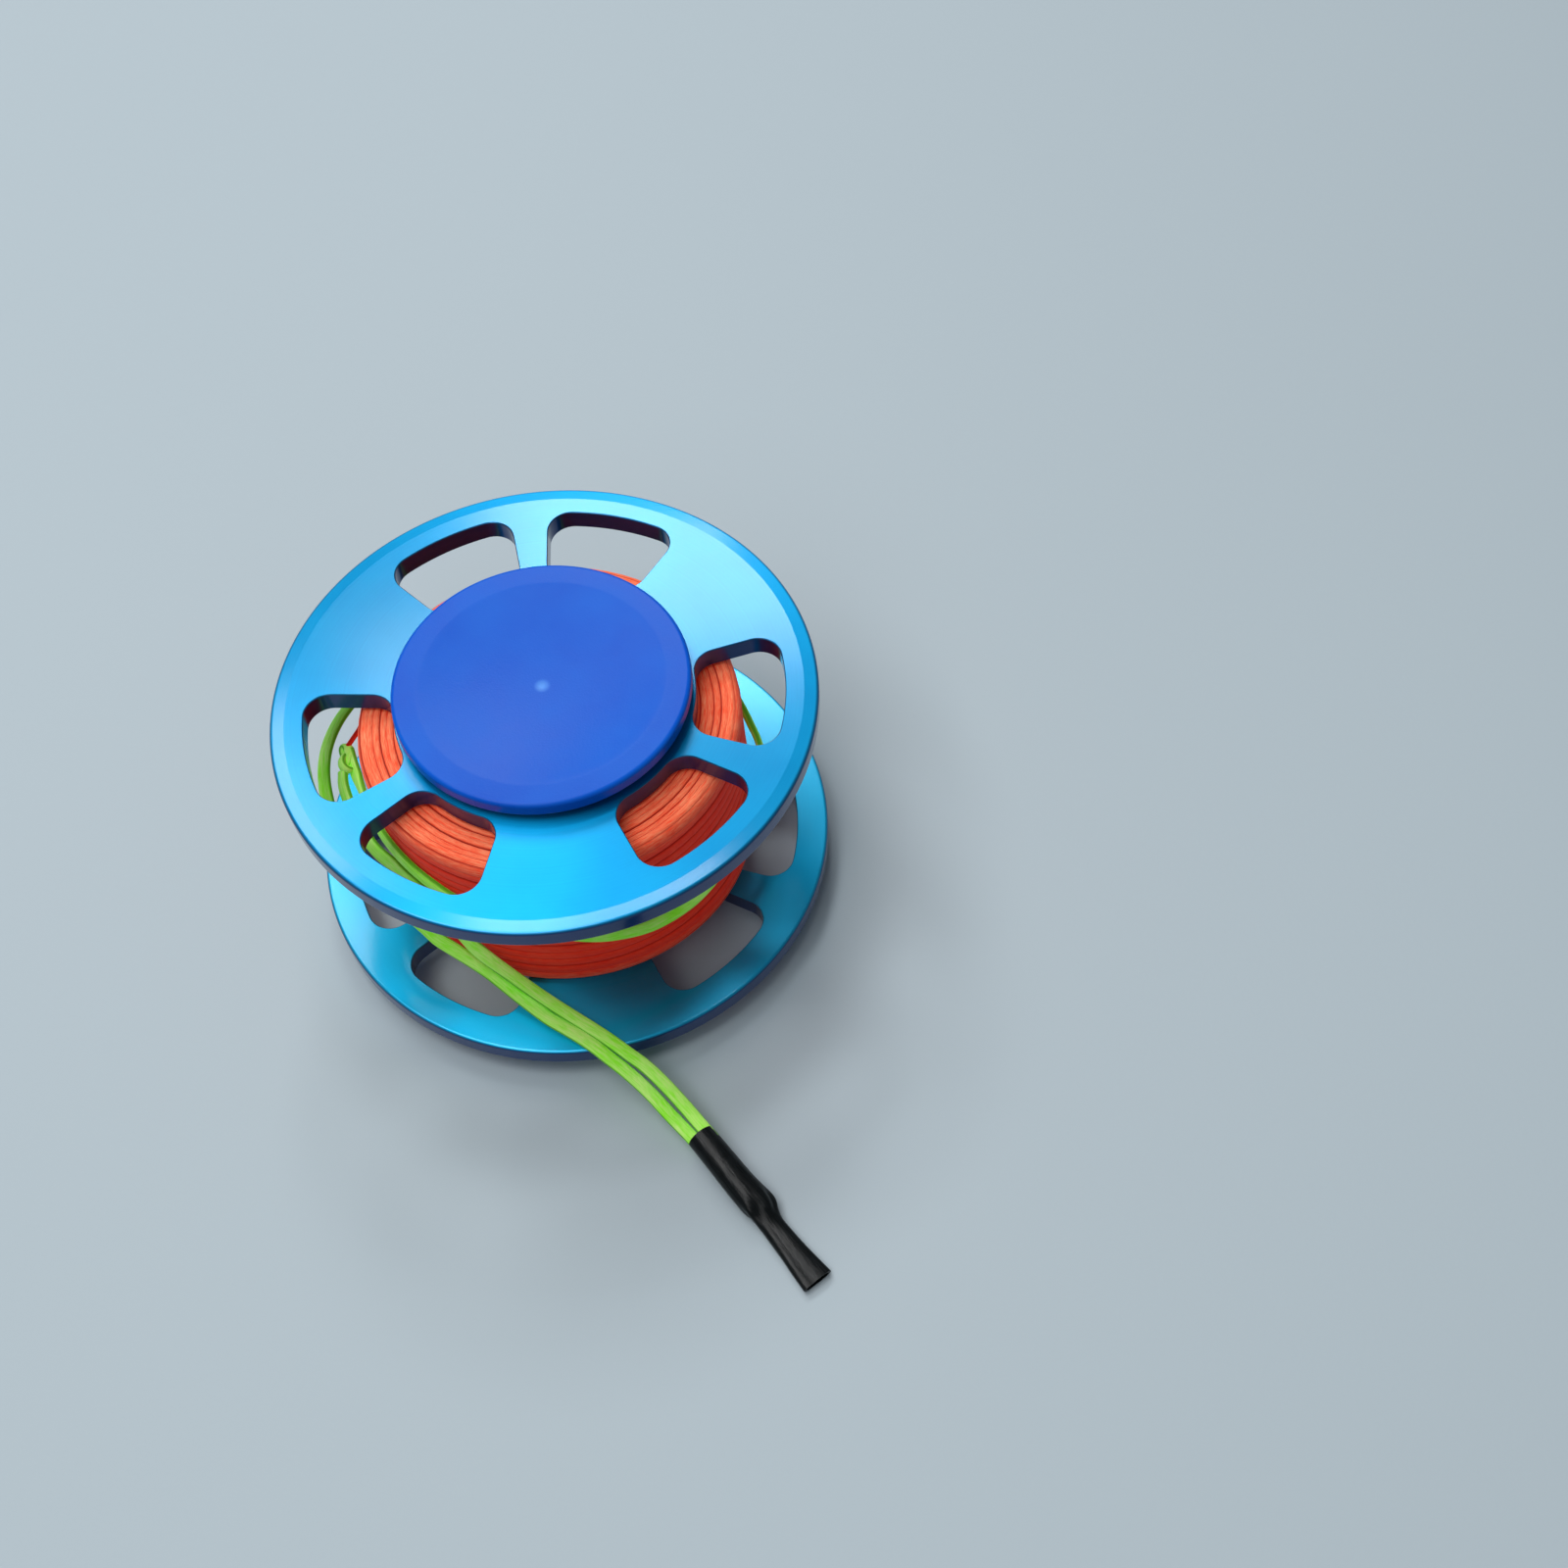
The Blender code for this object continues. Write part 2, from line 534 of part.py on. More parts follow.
def winding_section(distance):
    """Radius and level of the line's centre, this far along the outside of the winding:
    outwards below, round the corner, up the side, round the corner and inwards above"""
    flat = LINE_SIDE_RADIUS - WINDING_CORNER - LINE_INNER_RADIUS
    corner = WINDING_CORNER * math.pi / 2
    half_side = LINE_LEVEL - WINDING_CORNER
    half_length = flat + corner + half_side
    side = 1 if distance > half_length else -1
    left = distance if side < 0 else 2 * half_length - distance
    if left < flat:
        return LINE_INNER_RADIUS + left, side * LINE_LEVEL
    left -= flat
    if left < corner:
        turn = left / WINDING_CORNER
        radius = LINE_SIDE_RADIUS - WINDING_CORNER + WINDING_CORNER * math.sin(turn)
        return radius, side * (half_side + WINDING_CORNER * math.cos(turn))
    return LINE_SIDE_RADIUS, side * (half_side - (left - corner))


def winding_length():
    flat = LINE_SIDE_RADIUS - WINDING_CORNER - LINE_INNER_RADIUS
    return 2 * (flat + WINDING_CORNER * math.pi / 2 + LINE_LEVEL - WINDING_CORNER)


def lead_points(angle, level, direction):
    """End of the line: straight towards the hub and bent round into the first turn"""
    outwards = Vector((math.cos(angle), math.sin(angle), 0))
    onwards = direction * Vector((-math.sin(angle), math.cos(angle), 0))
    hub_end = HUB_RADIUS + SEAT_GAP
    bend_radius = LINE_INNER_RADIUS - LINE_LEAD_BEND
    lift = Vector((0, 0, MIDDLE + level))
    points = [lift + outwards * hub_end - onwards * LINE_LEAD_BEND]
    for step in range(3):
        turn = math.pi / 2 * step / 3
        radius = bend_radius + LINE_LEAD_BEND * math.sin(turn)
        points.append(lift + outwards * radius - onwards * LINE_LEAD_BEND * math.cos(turn))
    return points


def winding_points():
    """Centre of the outer layer: one line, turn beside turn"""
    length = winding_length()
    turns = int(length / (LINE_DIAMETER + LINE_GAP))
    count = turns * POINTS_PER_TURN
    points = []
    for index in range(count + 1):
        angle = math.tau * index / POINTS_PER_TURN
        radius, level = winding_section(length * index / count)
        points.append(Vector((radius * math.cos(angle), radius * math.sin(angle), MIDDLE + level)))
    first = lead_points(0, -LINE_LEVEL, 1)
    last = lead_points(0, LINE_LEVEL, -1)
    return turns, first + points + last[::-1]


def least_gap(points, diameter):
    """Least gap between two stretches of a tube that are more than half a turn apart"""
    places = np.array(points)
    apart = np.linalg.norm(places[:, None] - places[None], axis=2)
    index = np.arange(len(places))
    near = np.abs(index[:, None] - index[None]) < POINTS_PER_TURN // 2
    return apart[~near].min() - diameter


def tube(name, points, radius, resolution, finish):
    """Round tube with filled ends along a row of points"""
    curve = bpy.data.curves.new(name, "CURVE")
    curve.dimensions = "3D"
    curve.bevel_depth = radius
    curve.bevel_resolution = resolution
    curve.use_fill_caps = True
    spline = curve.splines.new("POLY")
    spline.points.add(len(points) - 1)
    for target, point in zip(spline.points, points):
        target.co = (*point, 1.0)
    return show(name, curve, finish)


def smooth_curve(route):
    """Dense points on a smooth curve through the points of a route"""
    ends = [2 * route[0] - route[1], 2 * route[-1] - route[-2]]
    path = [ends[0], *route, ends[1]]
    dense = []
    for before, start, end, after in zip(path, path[1:], path[2:], path[3:]):
        for step in range(ROUTE_STEPS):
            t = step / ROUTE_STEPS
            bend = (2 * before - 5 * start + 4 * end - after) * t**2
            swing = (3 * start - 3 * end + after - before) * t**3
            dense.append((2 * start + (end - before) * t + bend + swing) / 2)
    dense.append(route[-1])
    return dense


def even_points(route, step):
    """Points at even steps along a smooth curve through the points of a route"""
    dense = np.array(smooth_curve([np.array(point) for point in route]))
    travelled = np.concatenate(([0], np.cumsum(np.linalg.norm(np.diff(dense, axis=0), axis=1))))
    stops = np.linspace(0, travelled[-1], round(travelled[-1] / step) + 1)
    return [Vector([np.interp(stop, travelled, dense[:, axis]) for axis in range(3)]) for stop in stops]


def scaled(route):
    return [Vector(point) * MM for point in route]


def round_point(degrees, radius, level_share):
    """Point beside the winding, from its angle, its distance from the axis and its height"""
    angle = math.radians(degrees)
    return Vector((radius * math.cos(angle), radius * math.sin(angle), MIDDLE + INNER_FACE * level_share))


def wrap_route():
    """Route of the leader on the winding"""
    return [round_point(degrees, WRAP_RADIUS, level) for degrees, level in LEADER_WRAP_SHARES]


def line_end_route():
    """Route of the line's end to the leader's knot"""
    return [round_point(degrees, WINDING_RADIUS * share, level) for degrees, share, level in LINE_END_SHARES]


def make_anchor_knot(finish):
    """Knot in the bore with its tail out through the hub wall, turned about X"""
    centre = HUB_BORE_RADIUS - SEAT_GAP - ANCHOR_KNOT_RADIUS
    outline = [(0, centre - ANCHOR_KNOT_RADIUS)]
    meeting = math.asin(LINE_RADIUS / ANCHOR_KNOT_RADIUS)
    for step in range(5):
        turn = math.pi - math.pi / 5 - (math.pi * 4 / 5 - meeting) * step / 4
        outline.append((ANCHOR_KNOT_RADIUS * math.sin(turn), centre + ANCHOR_KNOT_RADIUS * math.cos(turn)))
    outline += [(LINE_RADIUS, HUB_RADIUS), (0, HUB_RADIUS)]
    bm = bmesh.new()
    for vert in add_lying(bm, outline):
        vert.co.z += MIDDLE
    show("line_anchor_knot", mesh_from(bm, "line_anchor_knot"), finish)


def make_leader_knot(finish):
    """Egg-shaped envelope of the leader's knot, long way round the winding"""
    bm = bmesh.new()
    bmesh.ops.create_uvsphere(bm, u_segments=12, v_segments=8, radius=1.0)
    sizes = Matrix.Diagonal((LEADER_KNOT_REACH, LEADER_KNOT_HALF_LENGTH, LEADER_KNOT_HALF_HEIGHT, 1.0))
    reach = WRAP_RADIUS - LEADER_RADIUS + LEADER_KNOT_REACH
    place = round_point(math.degrees(LEADER_KNOT_ANGLE), reach, LEADER_KNOT_LEVEL_SHARE)
    turn = Matrix.Rotation(LEADER_KNOT_ANGLE, 4, "Z")
    bmesh.ops.transform(bm, matrix=Matrix.Translation(place) @ turn @ sizes, verts=bm.verts)
    show("leader_knot", mesh_from(bm, "leader_knot"), finish)


def make_sleeve(finish):
    """Shrunk tube: round over the strands, pinched past their ends and pressed flat to its cut end"""
    layers = []
    centres = [Vector(centre) for centre, width, height in SLEEVE_SECTIONS]
    for index, (centre, width, height) in enumerate(SLEEVE_SECTIONS):
        ahead = centres[min(index + 1, len(centres) - 1)] - centres[max(index - 1, 0)]
        across = Vector((-ahead.y, ahead.x, 0)).normalized()
        upwards = across.cross(ahead).normalized() * -1
        ring = []
        for step in range(SLEEVE_SIDES):
            angle = math.tau * step / SLEEVE_SIDES
            offset = across * width * math.cos(angle) + upwards * height * math.sin(angle)
            ring.append((Vector(centre) + offset) * MM)
        layers.append(ring)
    bm = bmesh.new()
    add_stack(bm, layers)
    show("heat_shrink_sleeve", mesh_from(bm, "heat_shrink_sleeve"), finish)


for old in list(bpy.data.objects):
    bpy.data.objects.remove(old)

sky_blue = material("sky_blue_anodised_aluminium", shade(45, 178, 232), 0.35, 0.9)
royal_blue = material("royal_blue_plastic", shade(58, 108, 220), 0.42)
bearing_white = material("bearing_plastic", shade(228, 228, 220), 0.45)
bright_steel = material("stainless_steel", shade(190, 192, 196), 0.3, 1.0)
brass = material("brass", shade(200, 165, 90), 0.35, 1.0)
orange_line = material("orange_braided_line", shade(238, 108, 80), 0.75)
green_cord = material("green_flat_cord", shade(140, 222, 90), 0.7)
black_shrink = material("black_shrink_tube", shade(22, 24, 27), 0.4)

handle_axis = bpy.data.objects.new("handle_axis", None)
bpy.context.collection.objects.link(handle_axis)

flange_screw = screw_mesh()
for word, side in (("upper", 1), ("lower", -1)):
    make_flange(word + "_flange", side, sky_blue)
    place_screws(word, side, flange_screw, bright_steel)
    make_bush(word + "_bush", side, bearing_white)
    make_insert(word + "_insert", side, brass, handle_axis)
make_disc("thumb_disc", 1, royal_blue, handle_axis)
make_disc("finger_disc", -1, royal_blue, handle_axis)
make_spindle(bright_steel, handle_axis)
make_hub(sky_blue)

make_line_core(orange_line)
turn_count, line_points = winding_points()
tube("line_outer_layer", line_points, LINE_RADIUS, 1, orange_line)
gap = least_gap(line_points, LINE_DIAMETER)
print(f"line_outer_layer: {turn_count} turns, least gap to itself {gap / MM:.2f} mm")
make_anchor_knot(orange_line)
tube("line_end", even_points(line_end_route(), LINE_DIAMETER * 2), LINE_RADIUS, 1, orange_line)

make_leader_knot(green_cord)
tube("leader_wrap", even_points(wrap_route(), LEADER_STEP), LEADER_RADIUS, 2, green_cord)
tube("leader_strand_outer", even_points(scaled(OUTER_STRAND_ROUTE), LEADER_STEP), LEADER_RADIUS, 2, green_cord)
tube("leader_strand_inner", even_points(scaled(INNER_STRAND_ROUTE), LEADER_STEP), LEADER_RADIUS, 2, green_cord)
make_sleeve(black_shrink)
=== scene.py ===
# Finger spool on a pale table: blue anodised flanges, orange line, green leader and a dished handle.
# Sizes in the dictionaries are in millimetres and angles in degrees, unless a note says otherwise.
import math

import bmesh
import bpy
import numpy as np
from mathutils import Matrix, Vector


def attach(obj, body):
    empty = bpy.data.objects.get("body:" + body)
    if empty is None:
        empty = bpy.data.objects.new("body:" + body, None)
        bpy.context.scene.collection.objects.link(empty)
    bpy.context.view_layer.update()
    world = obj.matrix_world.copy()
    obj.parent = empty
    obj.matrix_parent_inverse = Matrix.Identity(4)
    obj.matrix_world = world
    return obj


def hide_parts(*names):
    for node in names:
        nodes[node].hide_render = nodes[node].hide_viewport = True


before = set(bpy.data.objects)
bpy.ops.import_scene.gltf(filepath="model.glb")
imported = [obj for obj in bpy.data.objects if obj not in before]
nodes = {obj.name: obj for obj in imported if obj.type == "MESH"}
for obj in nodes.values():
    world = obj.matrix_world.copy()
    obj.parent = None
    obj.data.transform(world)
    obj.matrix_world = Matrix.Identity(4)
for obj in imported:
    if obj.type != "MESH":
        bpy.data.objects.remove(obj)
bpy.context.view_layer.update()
mm = 0.001
up = np.array((0.0, 0.0, 1.0))
middle = 27.45  # height of the spool's middle over the table
windingRadius = 33.5  # outside of the wound line, which the leader lies on
print("frame loaded")


# Paths, sweeps and turned shapes
def unit(vectors):
    return vectors / np.linalg.norm(vectors, axis=-1, keepdims=True)


def ramp(values, start, end):
    # 0 up to the start, 1 from the end on, and straight in between
    return np.clip((values - start) / (end - start), 0, 1)


def eased(share):
    return share * share * (3 - 2 * share)


def roundPoint(radius, degrees):
    turn = math.radians(degrees)
    return np.array((radius * math.cos(turn), radius * math.sin(turn)))


def smoothCurve(route, steps=16):
    # dense points on a smooth curve through the points of a route
    route = np.asarray(route, float)
    path = np.vstack([2 * route[0] - route[1], route, 2 * route[-1] - route[-2]])
    t = (np.arange(steps) / steps)[:, None]
    dense = []
    for before, start, end, after in zip(path, path[1:], path[2:], path[3:]):
        bend = (2 * before - 5 * start + 4 * end - after) * t**2
        swing = (3 * start - 3 * end + after - before) * t**3
        dense.append((2 * start + (end - before) * t + bend + swing) / 2)
    return np.vstack([*dense, route[-1:]])


def travelled(path):
    return np.concatenate(([0.0], np.cumsum(np.linalg.norm(np.diff(path, axis=0), axis=1))))


def readAt(stops, along, columns):
    return np.stack([np.interp(stops, along, column) for column in columns.T], axis=1)


def evenly(path, spacing):
    along = travelled(path)
    stops = np.linspace(0, along[-1], max(2, round(along[-1] / spacing) + 1))
    return readAt(stops, along, path)


def squared(wave, squareness):
    # a sine or cosine that makes an oval squarer, the smaller the squareness is
    return np.sign(wave) * np.abs(wave) ** squareness


def oval(width, height, sides, squareness=1.0):
    turn = np.arange(sides) / sides * math.tau
    across = squared(np.cos(turn), squareness) * width / 2
    over = squared(np.sin(turn), squareness) * height / 2
    return np.stack([across, over], axis=1)


def sweep(path, facing, section, ahead=None):
    # rings of points along a path; section is one outline, or one for each point of the path
    if ahead is None:
        ahead = unit(np.gradient(path, axis=0))
    side = unit(np.cross(ahead, facing))
    face = np.cross(side, ahead)
    section = np.broadcast_to(section, (len(path), *np.shape(section)[-2:]))
    return path[:, None] + side[:, None] * section[..., :1] + face[:, None] * section[..., 1:]


def skin(name, rings, along=None, closed=False):
    # one closed surface over rings, with u round each ring and v in metres along them
    rings = np.asarray(rings, float)
    count, sides = rings.shape[:2]
    if along is None:
        along = travelled(rings[:, 0])
    index = np.arange(count * sides).reshape(count, sides)
    start = index if closed else index[:-1]
    following = np.roll(index, -1, axis=0) if closed else index[1:]
    quads = np.stack([start, np.roll(start, -1, 1), np.roll(following, -1, 1), following], -1)
    faces = quads.reshape(-1, 4).tolist()
    if not closed:
        faces += [index[0][::-1].tolist(), index[-1].tolist()]
    mesh = bpy.data.meshes.new(name)
    mesh.from_pydata(rings.reshape(-1, 3).tolist(), [], faces)
    u = np.arange(sides) / sides
    v = np.asarray(along)
    after = np.append(v[1:], 2 * v[-1] - v[-2]) if closed else v[1:]
    before = v if closed else v[:-1]
    corners = np.zeros((*quads.shape[:2], 4, 2))
    corners[..., 0] = np.stack([u, u + 1 / sides, u + 1 / sides, u], -1)
    corners[..., 1] = np.stack([before, before, after, after], -1)[:, None]
    coords = np.zeros((len(mesh.loops), 2))
    coords[: corners.size // 2] = corners.reshape(-1, 2)
    mesh.uv_layers.new(name="cordMap").data.foreach_set("uv", coords.ravel())
    bm = bmesh.new()
    bm.from_mesh(mesh)
    bmesh.ops.recalc_face_normals(bm, faces=bm.faces)
    bm.to_mesh(mesh)
    bm.free()
    mesh.shade_smooth()
    piece = bpy.data.objects.new(name, mesh)
    bpy.context.scene.collection.objects.link(piece)
    return piece


def turned(name, outline, segments, sharpAngle=25.0, holeRadius=0.5):
    # solid turned about the spool's axis from (radius, height) points; it has a hole unless it starts near 0
    outline = np.asarray(outline, float)
    angle = np.arange(segments) / segments * math.tau
    rings = np.zeros((len(outline), segments, 3))
    rings[..., 0] = outline[:, :1] * np.cos(angle)
    rings[..., 1] = outline[:, :1] * np.sin(angle)
    rings[..., 2] = outline[:, 1:]
    piece = skin(name, rings * mm, closed=outline[0, 0] > holeRadius)
    piece.data.set_sharp_from_angle(angle=math.radians(sharpAngle))
    return piece


def levelled(outline, side):
    # (radius, level from the middle) as (radius, height over the table), above or below the middle
    return [(radius, middle + side * level) for radius, level in outline]


def arc(centre, radius, start, end, steps):
    turn = np.radians(np.linspace(start, end, steps + 1))
    return list(zip(centre[0] + radius * np.cos(turn), centre[1] + radius * np.sin(turn)))


def dress(piece, material):
    piece.data.materials.clear()
    piece.data.materials.append(material)


def finishPiece(piece, material, body, slotName, *replacedNodes):
    dress(piece, material)
    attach(piece, body)
    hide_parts(*replacedNodes)


# Materials, with their lengths in metres. "surface" goes straight on the shader's sockets, and a noise is its
# scale, its detail and, if given, its roughness
def linear(red, green, blue):
    return tuple(((value / 255 + 0.055) / 1.055) ** 2.4 for value in (red, green, blue)) + (1.0,)


def newMaterial(name, surface):
    material = bpy.data.materials.new(name)
    material.use_nodes = True
    shader = material.node_tree.nodes["Principled BSDF"]
    for socketName, value in surface.items():
        shader.inputs[socketName].default_value = value
    return material, shader


def node(material, kind, **settings):
    made = material.node_tree.nodes.new(kind)
    for name, value in settings.items():
        setattr(made, name, value)
    return made


def plug(material, value, socket):
    if isinstance(value, bpy.types.NodeSocket):
        material.node_tree.links.new(value, socket)
    else:
        socket.default_value = value


def calc(material, operation, *values):
    made = node(material, "ShaderNodeMath", operation=operation)
    for value, socket in zip(values, made.inputs):
        plug(material, value, socket)
    return made.outputs[0]


def mixed(material, first, second, share):
    # a share of the first value with the rest of the second
    rest = calc(material, "MULTIPLY", second, 1 - share)
    return calc(material, "MULTIPLY_ADD", first, share, rest)


def noise(material, vector, scale, detail=2.0, roughness=0.5):
    made = node(material, "ShaderNodeTexNoise")
    plug(material, vector, made.inputs["Vector"])
    made.inputs["Scale"].default_value = scale
    made.inputs["Detail"].default_value = detail
    made.inputs["Roughness"].default_value = roughness
    return made.outputs[0]


def toolRings(material, across, scale, detail):
    # noise in one direction only, as the rings on turned metal run
    made = node(material, "ShaderNodeTexNoise", noise_dimensions="1D")
    plug(material, calc(material, "MULTIPLY", across, scale), made.inputs["W"])
    made.inputs["Scale"].default_value = 1.0
    made.inputs["Detail"].default_value = detail
    return made.outputs[0]


def stretched(material, vector, scale):
    made = node(material, "ShaderNodeMapping")
    plug(material, vector, made.inputs["Vector"])
    made.inputs["Scale"].default_value = scale
    return made.outputs[0]


def blendColours(material, factor, first, second):
    made = node(material, "ShaderNodeMix", data_type="RGBA")
    plug(material, factor, made.inputs[0])
    plug(material, first, made.inputs[6])
    plug(material, second, made.inputs[7])
    return made.outputs[2]


def span(material, value, low, high, newLow=0.0, newHigh=1.0):
    made = node(material, "ShaderNodeMapRange")
    for setting, socket in zip((value, low, high, newLow, newHigh), made.inputs):
        plug(material, setting, socket)
    return made.outputs[0]


def paint(material, shader, factor, first, second):
    plug(material, blendColours(material, factor, first, second), shader.inputs["Base Color"])


noiseSpan = (0.3, 0.7)  # a noise seldom leaves it


def roughen(material, shader, value, least, most):
    plug(material, span(material, value, *noiseSpan, least, most), shader.inputs["Roughness"])


def bump(material, shader, height, distance):
    made = node(material, "ShaderNodeBump")
    made.inputs["Strength"].default_value = 1.0
    made.inputs["Distance"].default_value = distance
    plug(material, height, made.inputs["Height"])
    plug(material, made.outputs[0], shader.inputs["Normal"])


def components(material, vector):
    made = node(material, "ShaderNodeSeparateXYZ")
    plug(material, vector, made.inputs[0])
    return made.outputs


def objectPlace(material):
    return node(material, "ShaderNodeTexCoord").outputs["Object"]


def axisDistance(material, place):
    # distance from the spool's axis
    squares = [calc(material, "MULTIPLY", place[k], place[k]) for k in (0, 1)]
    return calc(material, "SQRT", calc(material, "ADD", *squares))


def cordFibres(material, cord):
    # long fibres, a slanting plait, and 1 at the cord's two edges; u runs round the cord and v along it
    uv = node(material, "ShaderNodeUVMap", uv_map="cordMap").outputs[0]
    place = components(material, uv)
    fibres = noise(material, stretched(material, uv, (*cord["fibreScales"], 1.0)), *cord["fibres"])
    strands = calc(material, "MULTIPLY", place[0], cord["strandsRound"] * math.tau)
    slant = calc(material, "MULTIPLY_ADD", place[1], math.tau / cord["plaitPitch"], strands)
    across = calc(material, "COSINE", calc(material, "MULTIPLY", place[0], math.tau))
    return fibres, calc(material, "SINE", slant), calc(material, "ABSOLUTE", across)


anodised = {
    "colour": linear(8, 142, 194),
    "deepColour": linear(4, 131, 185),
    "cloud": (90.0, 3.0),
    "cloudShare": 0.5,  # the rest follows the tool's rings
    "colourSpan": (0.35, 0.65),
    "paintedWallShade": linear(0, 52, 112),  # painted shade on edges and window walls, standing for the dark surroundings they reflect
    "wallShadeSlopes": (0.35, 0.95),  # upright part of a face's direction, from wall to flat face
    "innerSheenColour": linear(14, 168, 214),  # painted reflection that lightens the lower flange's inner face
    "innerSheenSlopes": (0.5, 0.9),
    "innerSheenHeights": (0.012, 0.009),  # over the table
    "rings": (2600.0, 3.0),
    "ringDepth": 0.000008,
    "roughness": (0.43, 0.49),
    "surface": {
        "Metallic": 1.0,
        "Anisotropic": 0.75,
        "Anisotropic Rotation": 0.25,  # of a full turn: the highlight spreads across the rings
        "Coat Weight": 1.0,
        "Coat Roughness": 0.13,
        "Coat IOR": 1.38,
    },
}


def makeAnodised():
    # dyed and sealed turned aluminium: fine rings, a highlight across them, a clear layer on top, painted
    # shade on the walls and a painted reflection on the lower flange's inner face
    material, shader = newMaterial("blueAnodised", anodised["surface"])
    place = components(material, objectPlace(material))
    rings = toolRings(material, axisDistance(material, place), *anodised["rings"])
    cloud = noise(material, objectPlace(material), *anodised["cloud"])
    shade = span(material, mixed(material, cloud, rings, anodised["cloudShare"]), *anodised["colourSpan"])
    colour = blendColours(material, shade, anodised["deepColour"], anodised["colour"])
    upright = components(material, node(material, "ShaderNodeNewGeometry").outputs["Normal"])[2]
    # painted shade: faces that stand upright, the walls and edges, get the darker blue
    level = span(material, calc(material, "ABSOLUTE", upright), *anodised["wallShadeSlopes"])
    colour = blendColours(material, level, anodised["paintedWallShade"], colour)
    # painted reflection: the upward face low over the table, the lower flange's inner face, gets a lighter
    # blue
    low = span(material, place[2], *anodised["innerSheenHeights"])
    inner = calc(material, "MULTIPLY", low, span(material, upright, *anodised["innerSheenSlopes"]))
    paint(material, shader, inner, colour, anodised["innerSheenColour"])
    roughen(material, shader, rings, *anodised["roughness"])
    tangent = node(material, "ShaderNodeTangent", direction_type="RADIAL", axis="Z")
    plug(material, tangent.outputs[0], shader.inputs["Tangent"])
    bump(material, shader, rings, anodised["ringDepth"])
    return material


moulded = {
    "colour": linear(6, 84, 200),
    "paleColour": linear(10, 95, 208),
    "cloud": (60.0, 3.0),
    "colourSpan": (0.35, 0.7),
    "highlightColour": linear(96, 164, 246),  # painted highlight, small and pale, in the middle of a disc
    "highlightRadii": (0.0004, 0.0015),
    "highlightStrength": 0.7,
    "grain": (2600.0, 2.0),
    "grainDepth": 0.00002,
    "roughness": (0.26, 0.34),
    "surface": {
        "Specular IOR Level": 0.12,
        "Subsurface Weight": 0.06,
        "Subsurface Radius": (0.2, 0.3, 1.0),
        "Subsurface Scale": 0.0015,
    },
}


def makeMoulded():
    # moulded nylon of the discs: an even satin with a fine grain, faint flow clouds and a painted highlight
    # in the middle
    material, shader = newMaterial("blueNylon", moulded["surface"])
    place = objectPlace(material)
    cloud = noise(material, place, *moulded["cloud"])
    flow = span(material, cloud, *moulded["colourSpan"])
    colour = blendColours(material, flow, moulded["colour"], moulded["paleColour"])
    radius = axisDistance(material, components(material, place))
    # painted highlight: a pale spot round the disc's axis
    paintedHighlight = span(material, radius, *moulded["highlightRadii"], moulded["highlightStrength"], 0.0)
    paint(material, shader, paintedHighlight, colour, moulded["highlightColour"])
    roughen(material, shader, cloud, *moulded["roughness"])
    bump(material, shader, noise(material, place, *moulded["grain"]), moulded["grainDepth"])
    return material


orangeLine = {
    "colour": linear(252, 82, 46),
    # painted shade: the line's side gets a deeper red
    "sideShadeColour": linear(236, 42, 20),
    # pale fibres; on the line's ends they also stand for painted light
    "paleColour": linear(255, 154, 110),
    # painted shade in the creases between turns, at the cord's edges
    "creaseShadeColour": linear(150, 22, 9),
    "sideShadeLevels": (0.0145, 0.0185),  # from the middle: a painted shaded side, and paler painted light on the ends by the windows
    "sidePaleShare": 0.12,  # how much of the pale crowns shows on the painted shaded side
    "fibreScales": (34.0, 420.0),  # round and along the line
    "fibres": (1.0, 3.0, 0.6),
    "strandsRound": 5,
    "plaitPitch": 0.0011,
    "plaitHeight": 0.12,  # as a share of the fibres' height
    "cloud": (150.0, 3.0, 0.6),
    "cloudShare": 0.25,
    "crownSpan": (0.38, 0.62),
    "creaseShadeSpan": (0.62, 0.97),
    "fibreDepth": 0.00007,
    "surface": {
        "Roughness": 0.75,
        "Specular IOR Level": 0.15,
        "Sheen Weight": 0.05,
        "Sheen Roughness": 0.5,
        # painted glow: emission, standing in for the dyes' fluorescence, that lifts the line's and leader's
        # colours in shade
        "Emission Color": linear(255, 36, 8),
        "Emission Strength": 0.085,
    },
}
greenCord = {
    "colour": linear(152, 250, 52),
    "paleColour": linear(212, 255, 140),
    # painted shade in the creases at the cord's edges
    "creaseShadeColour": linear(84, 168, 26),
    "fibreScales": (26.0, 260.0),
    "fibres": (1.0, 3.0, 0.6),
    "strandsRound": 9,
    "plaitPitch": 0.0016,
    "plaitHeight": 0.15,
    "cloud": (120.0, 3.0, 0.55),
    "cloudShare": 0.4,
    "crownSpan": (0.4, 0.62),
    "creaseShadeSpan": (0.84, 1.0),
    "fibreDepth": 0.00007,
    "surface": {
        "Roughness": 0.62,
        "Specular IOR Level": 0.2,
        "Sheen Weight": 0.08,
        "Sheen Roughness": 0.45,
        # painted glow that lifts the leader's green in shade
        "Emission Color": linear(120, 255, 30),
        "Emission Strength": 0.06,
    },
}


